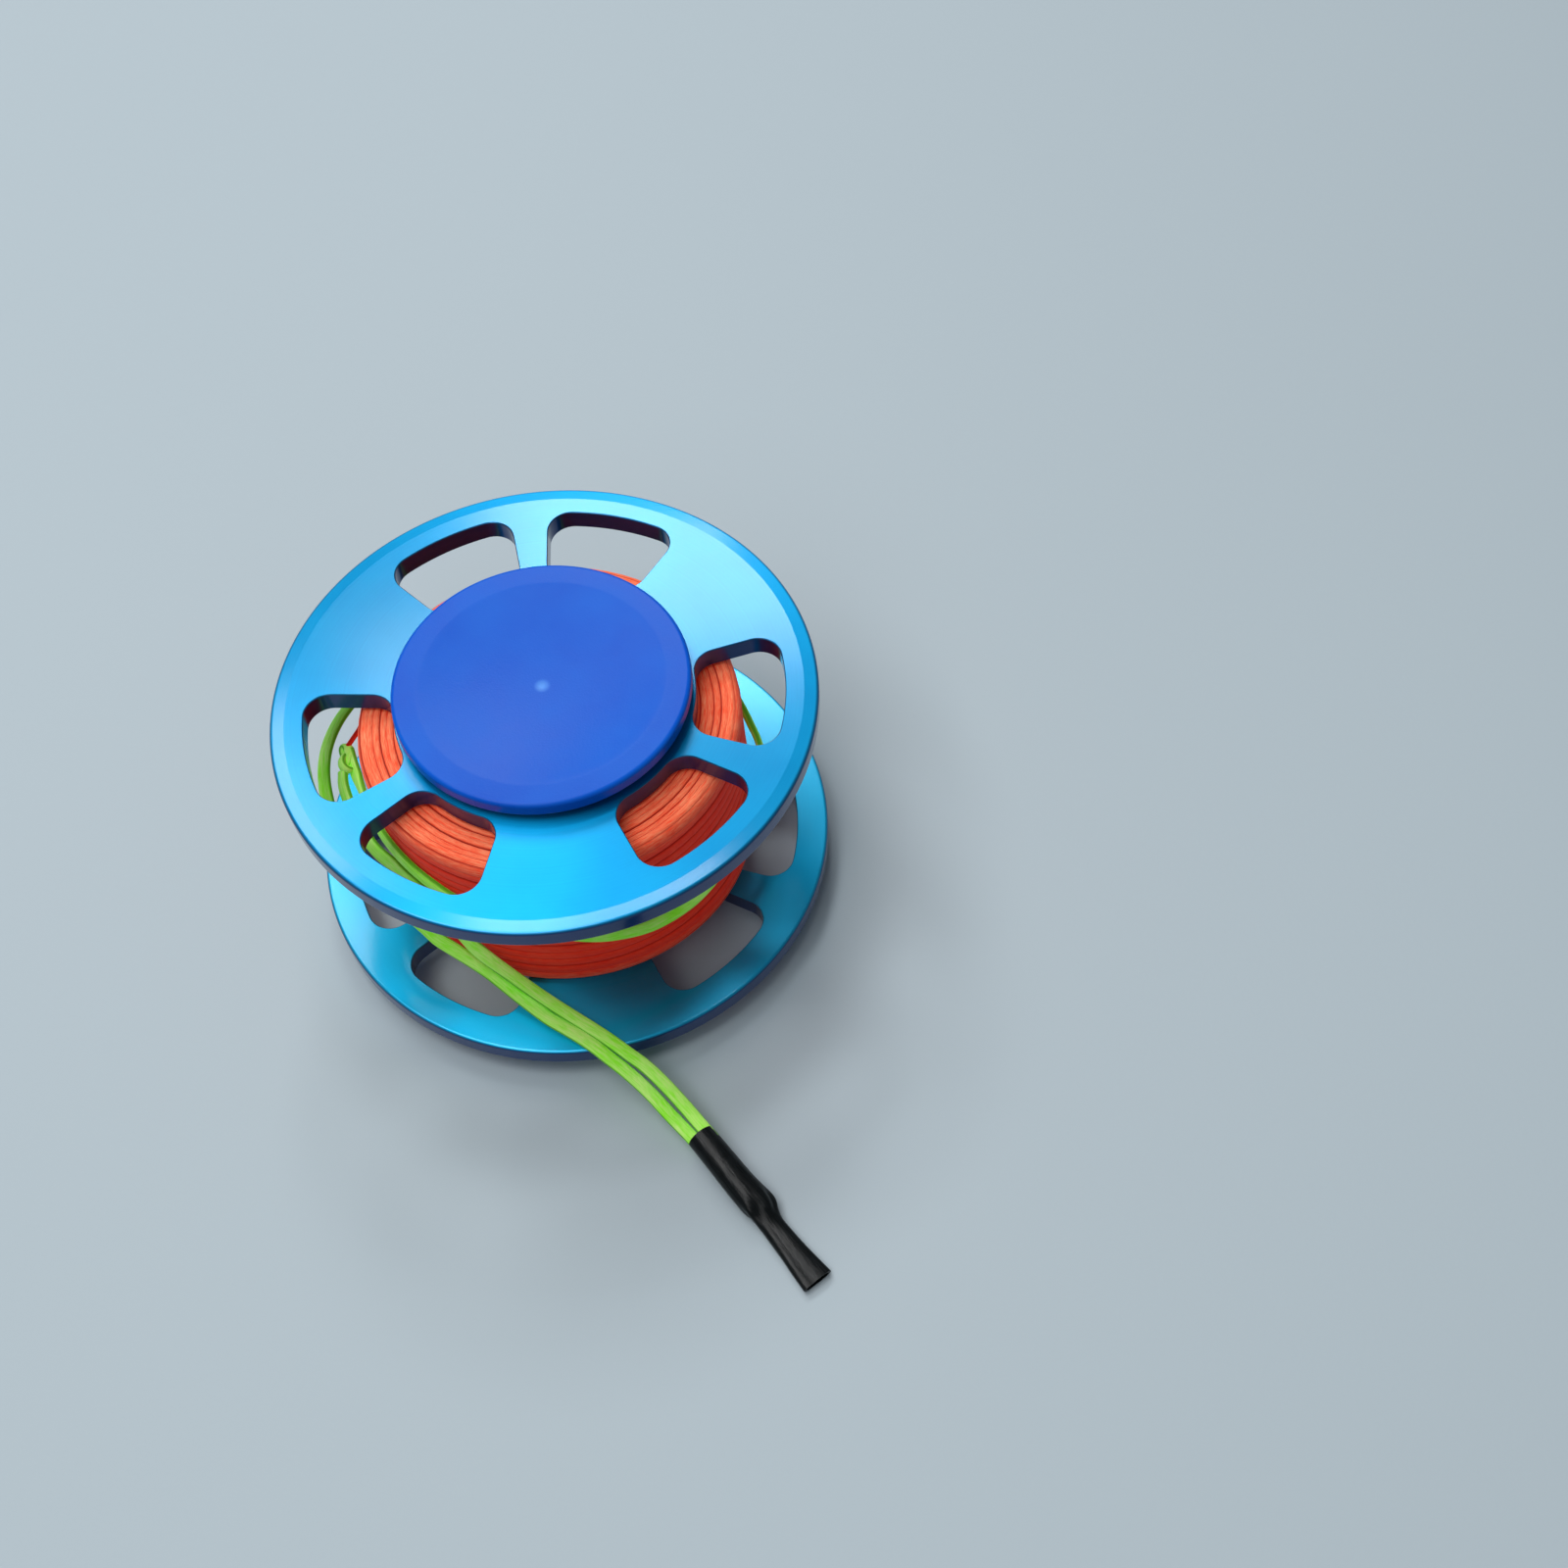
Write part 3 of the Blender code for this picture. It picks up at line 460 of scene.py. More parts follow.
def makeBraid(name, cord):
    # woven cord: pale fibres on the crowns, a slanting plait, and painted shade in the creases at both edges;
    # on the line also a painted shaded side and painted light on its ends
    material, shader = newMaterial(name, cord["surface"])
    fibres, plait, edge = cordFibres(material, cord)
    cloud = noise(material, objectPlace(material), *cord["cloud"])
    crown = span(material, mixed(material, cloud, fibres, cord["cloudShare"]), *cord["crownSpan"])
    colour = cord["colour"]
    # painted light and shade: the side near the middle gets a deeper red and fewer pale crowns, and the ends
    # by the windows get the lit colours
    if "sideShadeLevels" in cord:
        height = components(material, objectPlace(material))[2]
        fromMiddle = calc(material, "ABSOLUTE", calc(material, "SUBTRACT", height, middle * mm))
        litEnds = span(material, fromMiddle, *cord["sideShadeLevels"])
        colour = blendColours(material, litEnds, cord["sideShadeColour"], colour)
        crown = calc(material, "MULTIPLY", crown, span(material, litEnds, 0.0, 1.0, cord["sidePaleShare"], 1.0))
    crownedColour = blendColours(material, crown, colour, cord["paleColour"])
    # painted shade: the cord's two edges get the crease colour
    paint(material, shader, span(material, edge, *cord["creaseShadeSpan"]), crownedColour, cord["creaseShadeColour"])
    relief = calc(material, "MULTIPLY_ADD", plait, cord["plaitHeight"], fibres)
    bump(material, shader, relief, cord["fibreDepth"])
    return material


shrinkTube = {
    "colour": linear(11, 14, 15),
    "paleColour": linear(18, 22, 24),
    "dust": (420.0, 3.0, 0.6),
    "dustSpan": (0.42, 0.75),
    "dustHeight": 0.5,  # as a share of the drag marks' height
    "dragScales": (40.0, 260.0, 1.0),
    "drag": (1.0, 3.0),
    "markDepth": 0.00006,
    "roughness": (0.22, 0.36),
    "surface": {"Specular IOR Level": 0.2},
}


def makeShrinkTube():
    # black shrunk plastic: satin, with faint lengthwise drag marks and dusty high spots
    material, shader = newMaterial("blackShrinkTube", shrinkTube["surface"])
    uv = node(material, "ShaderNodeUVMap", uv_map="cordMap").outputs[0]
    drag = noise(material, stretched(material, uv, shrinkTube["dragScales"]), *shrinkTube["drag"])
    dust = noise(material, objectPlace(material), *shrinkTube["dust"])
    dusty = span(material, dust, *shrinkTube["dustSpan"])
    paint(material, shader, dusty, shrinkTube["colour"], shrinkTube["paleColour"])
    roughen(material, shader, drag, *shrinkTube["roughness"])
    height = calc(material, "MULTIPLY_ADD", dust, shrinkTube["dustHeight"], drag)
    bump(material, shader, height, shrinkTube["markDepth"])
    return material


toolMarks = {"rings": (15000.0, 2.0), "depth": 0.000012, "darkest": 0.8}
turnedMetals = {
    "stainlessSteel": {"colour": linear(196, 198, 202), "roughness": (0.24, 0.38)},
    "turnedBrass": {"colour": linear(205, 168, 92), "roughness": (0.28, 0.42)},
}


def makeTurnedMetal(name):
    # small turned or drawn metal piece with fine tool marks
    metal = turnedMetals[name]
    material, shader = newMaterial(name, {"Metallic": 1.0})
    place = components(material, objectPlace(material))
    slant = calc(material, "ADD", axisDistance(material, place), place[2])
    marks = toolRings(material, slant, *toolMarks["rings"])
    dark = (*(toolMarks["darkest"] * value for value in metal["colour"][:3]), 1.0)
    paint(material, shader, marks, dark, metal["colour"])
    roughen(material, shader, marks, *metal["roughness"])
    bump(material, shader, marks, toolMarks["depth"])
    return material


acetal = {
    "colour": linear(214, 213, 204),
    "paleColour": linear(238, 237, 230),
    "cloud": (300.0, 3.0),
    "grain": (2500.0, 2.0),
    "grainDepth": 0.00002,
    "surface": {"Roughness": 0.45},
}


def makePlain(name, finish):
    # two close colours in soft clouds, and a fine grain
    material, shader = newMaterial(name, finish["surface"])
    place = objectPlace(material)
    paint(material, shader, noise(material, place, *finish["cloud"]), finish["colour"], finish["paleColour"])
    bump(material, shader, noise(material, place, *finish["grain"]), finish["grainDepth"])
    return material


blueAnodised = makeAnodised()
blueNylon = makeMoulded()
orangeBraid = makeBraid("orangeBraid", orangeLine)
greenBraid = makeBraid("greenFlatBraid", greenCord)
blackTube = makeShrinkTube()
stainlessSteel = makeTurnedMetal("stainlessSteel")
turnedBrass = makeTurnedMetal("turnedBrass")
whiteAcetal = makePlain("whiteAcetal", acetal)
print("materials ready")

# Camera, at the photograph's place
photoCamera = {
    "place": (-0.00078, -0.22747, 0.34733),  # metres
    "forward": (0.1274, 0.5174, -0.8462),
    "up": (0.2416, 0.8113, 0.5324),
    "focalLengthInPixels": 2195.9,
    "frameInPixels": 1600,
    "centreInPixels": (881.6, 868.9),  # where the optical axis meets the frame, from its upper left corner
    "sensorWidth": 36.0,
    "seenDistances": (0.01, 20.0),  # metres
}


def makeCamera():
    data = bpy.data.cameras.new("photoCamera")
    centre, pixels = photoCamera["centreInPixels"], photoCamera["frameInPixels"]
    data.sensor_width = photoCamera["sensorWidth"]
    data.lens = photoCamera["sensorWidth"] * photoCamera["focalLengthInPixels"] / pixels
    data.shift_x = 0.5 - centre[0] / pixels
    data.shift_y = centre[1] / pixels - 0.5
    data.clip_start, data.clip_end = photoCamera["seenDistances"]
    forward = Vector(photoCamera["forward"]).normalized()
    right = forward.cross(Vector(photoCamera["up"])).normalized()
    turn = Matrix((right, right.cross(forward), -forward)).transposed().to_4x4()
    camera = bpy.data.objects.new("photoCamera", data)
    bpy.context.scene.collection.objects.link(camera)
    camera.matrix_world = Matrix.Translation(photoCamera["place"]) @ turn
    bpy.context.scene.camera = camera


makeCamera()
print("camera placed")

# Leader: one loop of flat cord, from the sleeve round the line to its knot and back
leader = {
    "width": 2.5,
    "thickness": 1.3,
    "squareness": 0.72,
    "sides": 20,
    "spacing": 0.7,
    "routeStep": 12,  # the loop follows every twelfth point of the smooth route
    "smoothSteps": 12,
    "sleeveDirection": (0.40, -0.915, -0.04),
    "sleeveDepth": 2.6,
    # from here on in metres: where it is drawn in to the line, where it turns flat, how it leans by the knot
    "drawnReach": (0.0366, 0.0352),
    "drawnHeights": (0.021, 0.027),
    "flatHeights": (0.029, 0.015),
    "leanStarts": (120, 145),
    "leanStops": (250, 220),
    "leanReach": (0.0344, 0.0352, 0.0375, 0.04),
    "leans": (0.15, 0.45, 0.45, 0.65),
    "strandEnd": 0.10,  # the wrap starts past this length, between these two angles
    "splitAngles": (60, 118),
}
# routes in metres, like the solids' own: outer strand from the winding to the sleeve, inner one from the knot
outerRoute = (
    (-0.0156, 0.0314, 0.0348), (-0.0216, 0.0282, 0.0349), (-0.0271, 0.0249, 0.0349),
    (-0.0326, 0.0214, 0.0348), (-0.0368, 0.017, 0.0348), (-0.0398, 0.0113, 0.0346),
    (-0.0411, 0.0052, 0.0341), (-0.041, -0.001, 0.0331), (-0.04, -0.0063, 0.032),
    (-0.0381, -0.011, 0.0306), (-0.0362, -0.0147, 0.0289), (-0.0343, -0.0174, 0.0273),
    (-0.0324, -0.0197, 0.0254), (-0.0304, -0.0218, 0.0232), (-0.0283, -0.0242, 0.0212),
    (-0.026, -0.0261, 0.0195), (-0.0234, -0.0283, 0.0177), (-0.0208, -0.0306, 0.0157),
    (-0.0184, -0.0332, 0.0137), (-0.0158, -0.0361, 0.0119), (-0.013, -0.0393, 0.0106),
    (-0.0101, -0.0423, 0.0101), (-0.0072, -0.0456, 0.0099), (-0.0045, -0.0492, 0.0094),
    (-0.0017, -0.0527, 0.0081), (0.0008, -0.0562, 0.0065), (0.0031, -0.0602, 0.005),
    (0.005, -0.0635, 0.0041), (0.0064, -0.0661, 0.0037),
)
innerRoute = (
    (-0.0373, 0.0046, 0.0367), (-0.0377, 0.0018, 0.036), (-0.0371, -0.0028, 0.0349),
    (-0.0352, -0.0097, 0.0333), (-0.0325, -0.0151, 0.0315), (-0.0296, -0.0193, 0.0304),
    (-0.0276, -0.0223, 0.0284), (-0.0254, -0.0249, 0.0254), (-0.0229, -0.0273, 0.0222),
    (-0.0204, -0.0296, 0.0191), (-0.0178, -0.0317, 0.0162), (-0.0151, -0.0341, 0.0139),
    (-0.0123, -0.0367, 0.012), (-0.0095, -0.0395, 0.0108), (-0.0067, -0.0425, 0.0102),
    (-0.0039, -0.0458, 0.0099), (-0.0012, -0.0493, 0.0096), (0.0015, -0.0525, 0.0086),
    (0.004, -0.0563, 0.0072), (0.0064, -0.0606, 0.0057), (0.0085, -0.0652, 0.0052),
)
# stations of the turn round the line: angle, height in metres and how far it hangs clear in millimetres
wrapStations = (
    (115.5, 0.0347, 0.0), (105, 0.0346, 0.0), (90, 0.0343, 0.0), (75, 0.0342, 0.0), (60, 0.0339, -0.1),
    (45, 0.0335, -0.3), (30, 0.0328, -0.5), (15, 0.0318, -0.5), (5, 0.0308, -0.1), (-2, 0.0299, 0.6),
    (-9, 0.0284, 1.6), (-17, 0.0268, 1.8), (-27, 0.0253, 1.2), (-40, 0.0239, 0.4), (-50, 0.0233, 0.0),
    (-62, 0.0227, 0.0), (-75, 0.0230, 0.0), (-86, 0.0244, 0.0), (-95, 0.0261, 0.0), (-105, 0.0285, 0.0),
    (-115, 0.0308, 0.0), (-130, 0.0335, 0.0), (-140, 0.0350, 0.0), (-150, 0.0360, 0.0), (-160, 0.0363, 0.0),
    (-168, 0.0362, 0.0), (-176, 0.0362, 0.2), (-182, 0.0364, 0.7), (-188, 0.0368, 1.5), (-193, 0.0374, 2.3),
)
wrapRadius = windingRadius + leader["thickness"] / 2


def radial(path):
    return unit(path * (1.0, 1.0, 0.0))


def drawnIn(path):
    # a flat cord lies closer to the line than the round solid does
    reach = np.linalg.norm(path[:, :2], axis=1)
    share = eased(ramp(reach, *leader["drawnReach"]) * ramp(path[:, 2], *leader["drawnHeights"]))
    moved = reach + (np.minimum(reach, wrapRadius * mm) - reach) * share
    return path * np.stack([moved / reach, moved / reach, np.ones(len(path))], axis=1)


def leaderFacing(path):
    # the face looks away from the line, leans up on the knot's side and lies flat on its way over the rim
    flat = eased(ramp(path[:, 2], *leader["flatHeights"]))
    angles = np.degrees(np.arctan2(path[:, 1], path[:, 0])) % 360
    reach = np.linalg.norm(path[:, :2], axis=1)
    lean = np.interp(reach, leader["leanReach"], leader["leans"])
    lean = lean * ramp(angles, *leader["leanStarts"]) * ramp(angles, *leader["leanStops"])
    flat = np.maximum(flat, lean)[:, None]
    return unit(radial(path) * (1 - flat) + up * flat)


def intoSleeve(route):
    # carries a strand a few millimetres on into the sleeve's mouth
    return [*route, np.array(route[-1]) + np.array(leader["sleeveDirection"]) * leader["sleeveDepth"] * mm]


def makeLeader():
    section = oval(leader["width"] * mm, leader["thickness"] * mm, leader["sides"], leader["squareness"])
    outer = drawnIn(smoothCurve(intoSleeve(outerRoute)))
    wrap = [(*roundPoint((wrapRadius + clear) * mm, degrees), z) for degrees, z, clear in wrapStations]
    loop = smoothCurve(np.vstack([outer[::-1][:: leader["routeStep"]], wrap]), leader["smoothSteps"])
    loop = evenly(loop, leader["spacing"] * mm)
    along = travelled(loop)
    rings = sweep(loop, leaderFacing(loop), section)
    angles = np.degrees(np.arctan2(loop[:, 1], loop[:, 0]))
    first, last = leader["splitAngles"]
    split = int(np.argmax((along > leader["strandEnd"]) & (angles > first) & (angles < last)))
    strand = skin("leaderStrandOuter", rings[: split + 1], along[: split + 1])
    wrapped = skin("leaderWrap", rings[split:], along[split:])
    finishPiece(strand, greenBraid, "spool", "green_cord", "leader_strand_outer")
    finishPiece(wrapped, greenBraid, "spool", "green_cord", "leader_wrap")
    inner = evenly(drawnIn(smoothCurve(intoSleeve(innerRoute))), leader["spacing"] * mm)
    innerStrand = skin("leaderStrandInner", sweep(inner, leaderFacing(inner), section), travelled(inner))
    finishPiece(innerStrand, greenBraid, "spool", "green_cord", "leader_strand_inner")
    return strand, loop[: split + 1], innerStrand, inner


outerStrand, outerPath, innerStrand, innerPath = makeLeader()
print("leader made")

# Shrunk sleeve on the leader's ends: centre, half width and half height of each section
sleeve = {
    "sections": (
        ((7.64, -65.99, 4.37), 2.45, 2.40),
        ((8.39, -67.70, 4.30), 2.50, 2.40),
        ((10.06, -71.58, 3.95), 2.60, 2.35),
        ((12.02, -76.07, 3.40), 2.75, 2.25),
        ((13.60, -79.24, 2.95), 2.95, 2.10),
        ((14.49, -80.99, 2.50), 2.85, 1.80),
        ((14.97, -82.52, 2.05), 2.40, 1.45),
        ((15.75, -84.77, 1.60), 2.10, 1.30),
        ((17.62, -89.37, 1.35), 2.30, 1.20),
        ((19.19, -93.15, 1.20), 2.65, 1.05),
        ((20.48, -96.11, 1.10), 2.90, 0.95),
    ),
    "sides": 56,
    "spacing": 0.35,
    "softened": 4,  # neighbours on each side that count in a section's size
    "wall": 0.35,
    "mouthDepth": 2.9,
    "tailDepth": 1.2,
    "sharpAngle": 50.0,
    # places on the sleeve as shares of its length
    "flatPlaces": (0.55, 0.75),
    "flatSquareness": 0.78,
    "strandHeight": 0.10,
    "strandPlaces": (0.42, 0.0),
    "pinchPlace": 0.50,
    "pinchLength": 0.06,
    "creaseHeight": 0.2,
    "creasesRound": 5,
    "creaseTwist": 9,
    "creaseSides": (-0.6, 0.4),  # sine of the turn where the creases fade in, from the underside
    "grooveDepth": 0.16,
    "groovePlaces": (0.6, 0.7),
    "grooveSide": 0.25,  # cosine of the turn
    "grooveWidth": 0.3,
}


def bell(values, centre, width):
    return np.exp(-(((values - centre) / width) ** 2))


def sleevePath():
    # centres and half sizes at even stops along the sleeve
    rows = np.array([(*centre, width, height) for centre, width, height in sleeve["sections"]])
    dense = smoothCurve(rows[:, :3])
    sizes = readAt(np.linspace(0, len(rows) - 1, len(dense)), np.arange(len(rows)), rows[:, 3:])
    reach = sleeve["softened"]
    kernel = np.ones(2 * reach + 1) / (2 * reach + 1)
    padded = np.pad(sizes, ((reach, reach), (0, 0)), mode="edge")
    sizes = np.stack([np.convolve(column, kernel, mode="valid") for column in padded.T], axis=1)
    along = travelled(dense)
    stops = np.linspace(0, along[-1], round(along[-1] / sleeve["spacing"]) + 1)
    return stops, readAt(stops, along, dense), readAt(stops, along, sizes)


def sleeveRelief(far, turn):
    # two strands show through the wall, creases gather where it is pinched, and a groove runs to the end
    strands = sleeve["strandHeight"] * np.cos(2 * turn) * ramp(far, *sleeve["strandPlaces"])
    pinch = bell(far, sleeve["pinchPlace"], sleeve["pinchLength"])
    folds = np.sin(sleeve["creasesRound"] * turn + sleeve["creaseTwist"] * far)
    creases = sleeve["creaseHeight"] * pinch * folds * ramp(np.sin(turn), *sleeve["creaseSides"])
    groove = bell(np.cos(turn), sleeve["grooveSide"], sleeve["grooveWidth"]) * (np.sin(turn) > 0)
    return strands + creases - sleeve["grooveDepth"] * ramp(far, *sleeve["groovePlaces"]) * groove


def makeSleeve():
    stops, path, half = sleevePath()
    turn = np.arange(sleeve["sides"]) / sleeve["sides"] * math.tau
    far = (stops / stops[-1])[:, None]
    squareness = 1 - (1 - sleeve["flatSquareness"]) * ramp(far, *sleeve["flatPlaces"])
    swell = 1 + sleeveRelief(far, turn) / np.maximum(half[:, 1:], 1.0)
    across = squared(np.cos(turn), squareness) * half[:, :1] * swell
    over = squared(np.sin(turn), squareness) * half[:, 1:] * swell
    outside = sweep(path, np.broadcast_to(up, path.shape), np.stack([across, over], axis=-1))
    # the wall turns in at the mouth and at the cut end
    thin = 1 - sleeve["wall"] / half.mean(axis=1)
    inside = path[:, None] + (outside - path[:, None]) * thin[:, None, None]
    mouth = stops < sleeve["mouthDepth"]
    tail = stops > stops[-1] - sleeve["tailDepth"]
    rings = np.concatenate([inside[mouth][::-1], outside, inside[tail][::-1]])
    piece = skin("heatShrinkSleeve", rings * mm)
    piece.data.set_sharp_from_angle(angle=math.radians(sleeve["sharpAngle"]))
    finishPiece(piece, blackTube, "spool", "black_shrink_tube", "heat_shrink_sleeve")
    return piece


shrunkSleeve = makeSleeve()
print("sleeve made")

# Flanges, turned and windowed
flange = {
    "radius": 47.1,
    "boreRadius": 12.8125,
    "innerFace": 19.0,
    "outerFace": 23.0,
    "rimRing": 1.95,
    "rimDrop": 0.2,
    "rimRound": 0.6,
    "rimSteps": 6,
    "edgeBreak": 0.15,
    "cutterOverrun": 0.4,
    "windowOuter": 41.35,
    "windowInner": 26.0,
    "windowCorner": 4.19,
    "windowSpan": 35.0,
    "windowAngles": (60.35, 105.05, 180.35, 225.05, 300.35, 345.05),
    "outerSteps": 12,
    "cornerSteps": 14,
    "innerSteps": 8,
    "screwCircle": 17.0,
    "screwAngles": (23.0, 143.0, 263.0),
    "screwHead": 3.05,
    "screwShank": 1.8,
    "headLevels": (0.15, 1.65),  # below the outer face: where the head's cone starts and ends
    "screwSides": 32,
    "sharpAngle": 24.0,
    "lineTolerance": 0.02,
    "segments": 288,
}


def windowOutline(angle, growth):
    corner, halfSpan = flange["windowCorner"], flange["windowSpan"] / 2
    outerReach, innerReach = flange["windowOuter"] - corner, flange["windowInner"] + corner
    outerAngle = halfSpan - math.degrees(math.asin(corner / outerReach))
    innerAngle = halfSpan - math.degrees(math.asin(corner / innerReach))
    points = arc((0, 0), flange["windowOuter"] + growth, -outerAngle, outerAngle, flange["outerSteps"])[1:-1]
    for reach, at, start, end in (
        (outerReach, outerAngle, outerAngle, halfSpan + 90),
        (innerReach, innerAngle, halfSpan + 90, innerAngle + 180),
        (innerReach, -innerAngle, 180 - innerAngle, 270 - halfSpan),
        (outerReach, -outerAngle, -halfSpan - 90, -outerAngle),
    ):
        points += arc(roundPoint(reach, at), corner + growth, start, end, flange["cornerSteps"])
        if reach == innerReach and at > 0:
            inside = flange["windowInner"] - growth
            points += arc((0, 0), inside, innerAngle, -innerAngle, flange["innerSteps"])[1:-1]
    ahead, side = roundPoint(1.0, angle), roundPoint(1.0, angle + 90)
    return np.array(points) @ np.array((ahead, side))


def makeCutter(name, layers, side):
    # a solid over flat outlines, each at its level from the middle
    rings = []
    for outline, level in layers:
        rings.append(np.column_stack([outline, np.full(len(outline), middle + side * level)]))
    return skin(name, np.array(rings) * mm)


def flangeCutters(side):
    # windows with broken edges, and countersunk screw holes
    inner, outer, broken, over = (flange[k] for k in ("innerFace", "outerFace", "edgeBreak", "cutterOverrun"))
    wide = broken + over
    steps = ((wide, outer + over), (0.0, outer - broken), (0.0, inner + broken), (wide, inner - over))
    made = []
    for angle in flange["windowAngles"]:
        layers = [(windowOutline(angle, growth), level) for growth, level in steps]
        made.append(makeCutter("windowCutter", layers, side))
    head, shank, (rim, cone) = flange["screwHead"], flange["screwShank"], flange["headLevels"]
    steps = ((head, outer + over), (head, outer - rim), (shank, outer - cone), (shank, inner - over))
    unitCircle = oval(2.0, 2.0, flange["screwSides"])
    for angle in flange["screwAngles"]:
        centre = roundPoint(flange["screwCircle"], angle)
        layers = [(centre + radius * unitCircle, level) for radius, level in steps]
        made.append(makeCutter("screwCutter", layers, side))
    return made


def sharpenRing(mesh):
    # crisp lines on both sides of the shallow cone at the rim
    places = np.empty(len(mesh.vertices) * 3)
    mesh.vertices.foreach_get("co", places)
    places = places.reshape(-1, 3)
    reach = np.linalg.norm(places[:, :2], axis=1) / mm
    level = np.abs(places[:, 2] / mm - middle)
    ringEdge, outer = flange["radius"] - flange["rimRound"], flange["outerFace"]
    lines = ((ringEdge, outer - flange["rimDrop"]), (ringEdge - flange["rimRing"], outer))
    isLine = np.zeros(len(places), bool)
    for lineReach, lineLevel in lines:
        isLine |= np.abs(reach - lineReach) + np.abs(level - lineLevel) < flange["lineTolerance"]
    for edge in mesh.edges:
        if isLine[edge.vertices[0]] and isLine[edge.vertices[1]]:
            edge.use_edge_sharp = True


def makeFlange(name, side, replaced):
    inner, outer, rounding, steps = (flange[k] for k in ("innerFace", "outerFace", "rimRound", "rimSteps"))
    ringEdge, ringLevel = flange["radius"] - rounding, outer - flange["rimDrop"]
    outline = [(flange["boreRadius"], outer), (ringEdge - flange["rimRing"], outer)]
    outline += arc((ringEdge, ringLevel - rounding), rounding, 90, 0, steps)
    outline += arc((ringEdge, inner + rounding), rounding, 0, -90, steps)
    outline.append((flange["boreRadius"], inner))
    piece = turned(name, levelled(outline, side), flange["segments"])
    for cutter in flangeCutters(side):
        cut = piece.modifiers.new("cut", "BOOLEAN")
        cut.operation = "DIFFERENCE"
        cut.solver = "EXACT"
        cut.object = cutter
        graph = bpy.context.evaluated_depsgraph_get()
        whole = bpy.data.meshes.new_from_object(piece.evaluated_get(graph))
        piece.modifiers.clear()
        piece.data = whole
        bpy.data.objects.remove(cutter)
    piece.data.shade_smooth()
    piece.data.set_sharp_from_angle(angle=math.radians(flange["sharpAngle"]))
    sharpenRing(piece.data)
    piece.modifiers.new("evenFaces", "WEIGHTED_NORMAL").keep_sharp = True
    finishPiece(piece, blueAnodised, "spool", "blue_aluminium", replaced)


makeFlange("upperFlange", 1, "upper_flange")
makeFlange("lowerFlange", -1, "lower_flange")
print("flanges cut")

# Dished discs of the finger handle
disc = {
    "radius": 25.6,
    "top": 27.45,
    "underside": 24.4,
    "edgeRound": 0.8,
    "topSteps": 10,
    "undersideSteps": 8,
    "dishRadius": 21.2,
    "dishDepth": 1.5,
    "dishRings": 34,
    "dimpleRadius": 0.8,
    "dimpleDepth": 0.06,
    "dimpleShares": (0.3, 0.55, 0.8),
    "dimpleCurve": 1.5,  # power of its slope
    "lipSteps": ((-0.06, -0.02), (0.16, -0.002), (0.5, 0.0)),  # outwards from the dish's edge, and up
    "axisRadius": 0.02,
    "shoulderRadius": 15.5125,
    "shoulderBreak": 0.1,
    "shoulderFace": 24.3,
    "bossRadius": 10.0125,
    "bossEnd": 15.0,
    "pocketRadius": 7.31,
    "pocketEnd": 23.7,
    "segments": 192,
}


def makeDisc(name, side, replaced):
    top, dish, dimple, rounding = (disc[k] for k in ("top", "dishRadius", "dimpleRadius", "edgeRound"))
    low, edge = top - disc["dishDepth"], disc["radius"] - rounding
    outline = [(disc["axisRadius"], low - disc["dimpleDepth"])]
    for share in disc["dimpleShares"]:
        sunk = disc["dimpleDepth"] * (1 - share**2) ** disc["dimpleCurve"]
        outline.append((dimple * share, low - sunk))
    dishShares = np.linspace(dimple / dish, 1, disc["dishRings"])[:-1]
    outline += [(dish * share, low + disc["dishDepth"] * share**2) for share in dishShares]
    outline += [(dish + outwards, top + above) for outwards, above in disc["lipSteps"]]
    outline += arc((edge, top - rounding), rounding, 90, 0, disc["topSteps"])
    outline += arc((edge, disc["underside"] + rounding), rounding, 0, -90, disc["undersideSteps"])
    outline += [
        (disc["shoulderRadius"] + disc["shoulderBreak"], disc["underside"]),
        (disc["shoulderRadius"], disc["shoulderFace"]),
        (disc["bossRadius"], disc["shoulderFace"]),
        (disc["bossRadius"], disc["bossEnd"]),
        (disc["pocketRadius"], disc["bossEnd"]),
        (disc["pocketRadius"], disc["pocketEnd"]),
        (disc["axisRadius"], disc["pocketEnd"]),
    ]
    piece = turned(name, levelled(outline, side), disc["segments"])
    piece.modifiers.new("evenFaces", "WEIGHTED_NORMAL").keep_sharp = True
    finishPiece(piece, blueNylon, "finger_handle", "royal_blue_plastic", replaced)


makeDisc("thumbDisc", 1, "thumb_disc")
makeDisc("fingerDisc", -1, "finger_disc")
print("discs turned")

# Line wound on the hub: flat line, edge out at the flanges and face out on the side
winding = {
    "sideGap": 0.5,
    "hubGap": 1.5,
    "corner": 2.2,
    "hubRadius": 20.5,
    "pointsPerTurn": 72,
    "endPitch": 1.2,  # between turns under the flanges
    "sidePitch": 2.35,  # between turns on the side
    "endDepth": 1.7,
    "sideDepth": 1.25,
    "fill": 1.16,  # a turn's width as a share of the pitch
    "sides": 12,
    "squareness": 0.82,
    "countingStops": 2000,
    "wander": 0.17,  # how far a turn strays, as a share of the pitch
    "lift": 0.13,
    "seed": 11,
}
strayWaves = {"count": 9, "firstRate": 0.35, "rateStep": 0.42, "rateSpread": 0.3, "fading": 0.45}


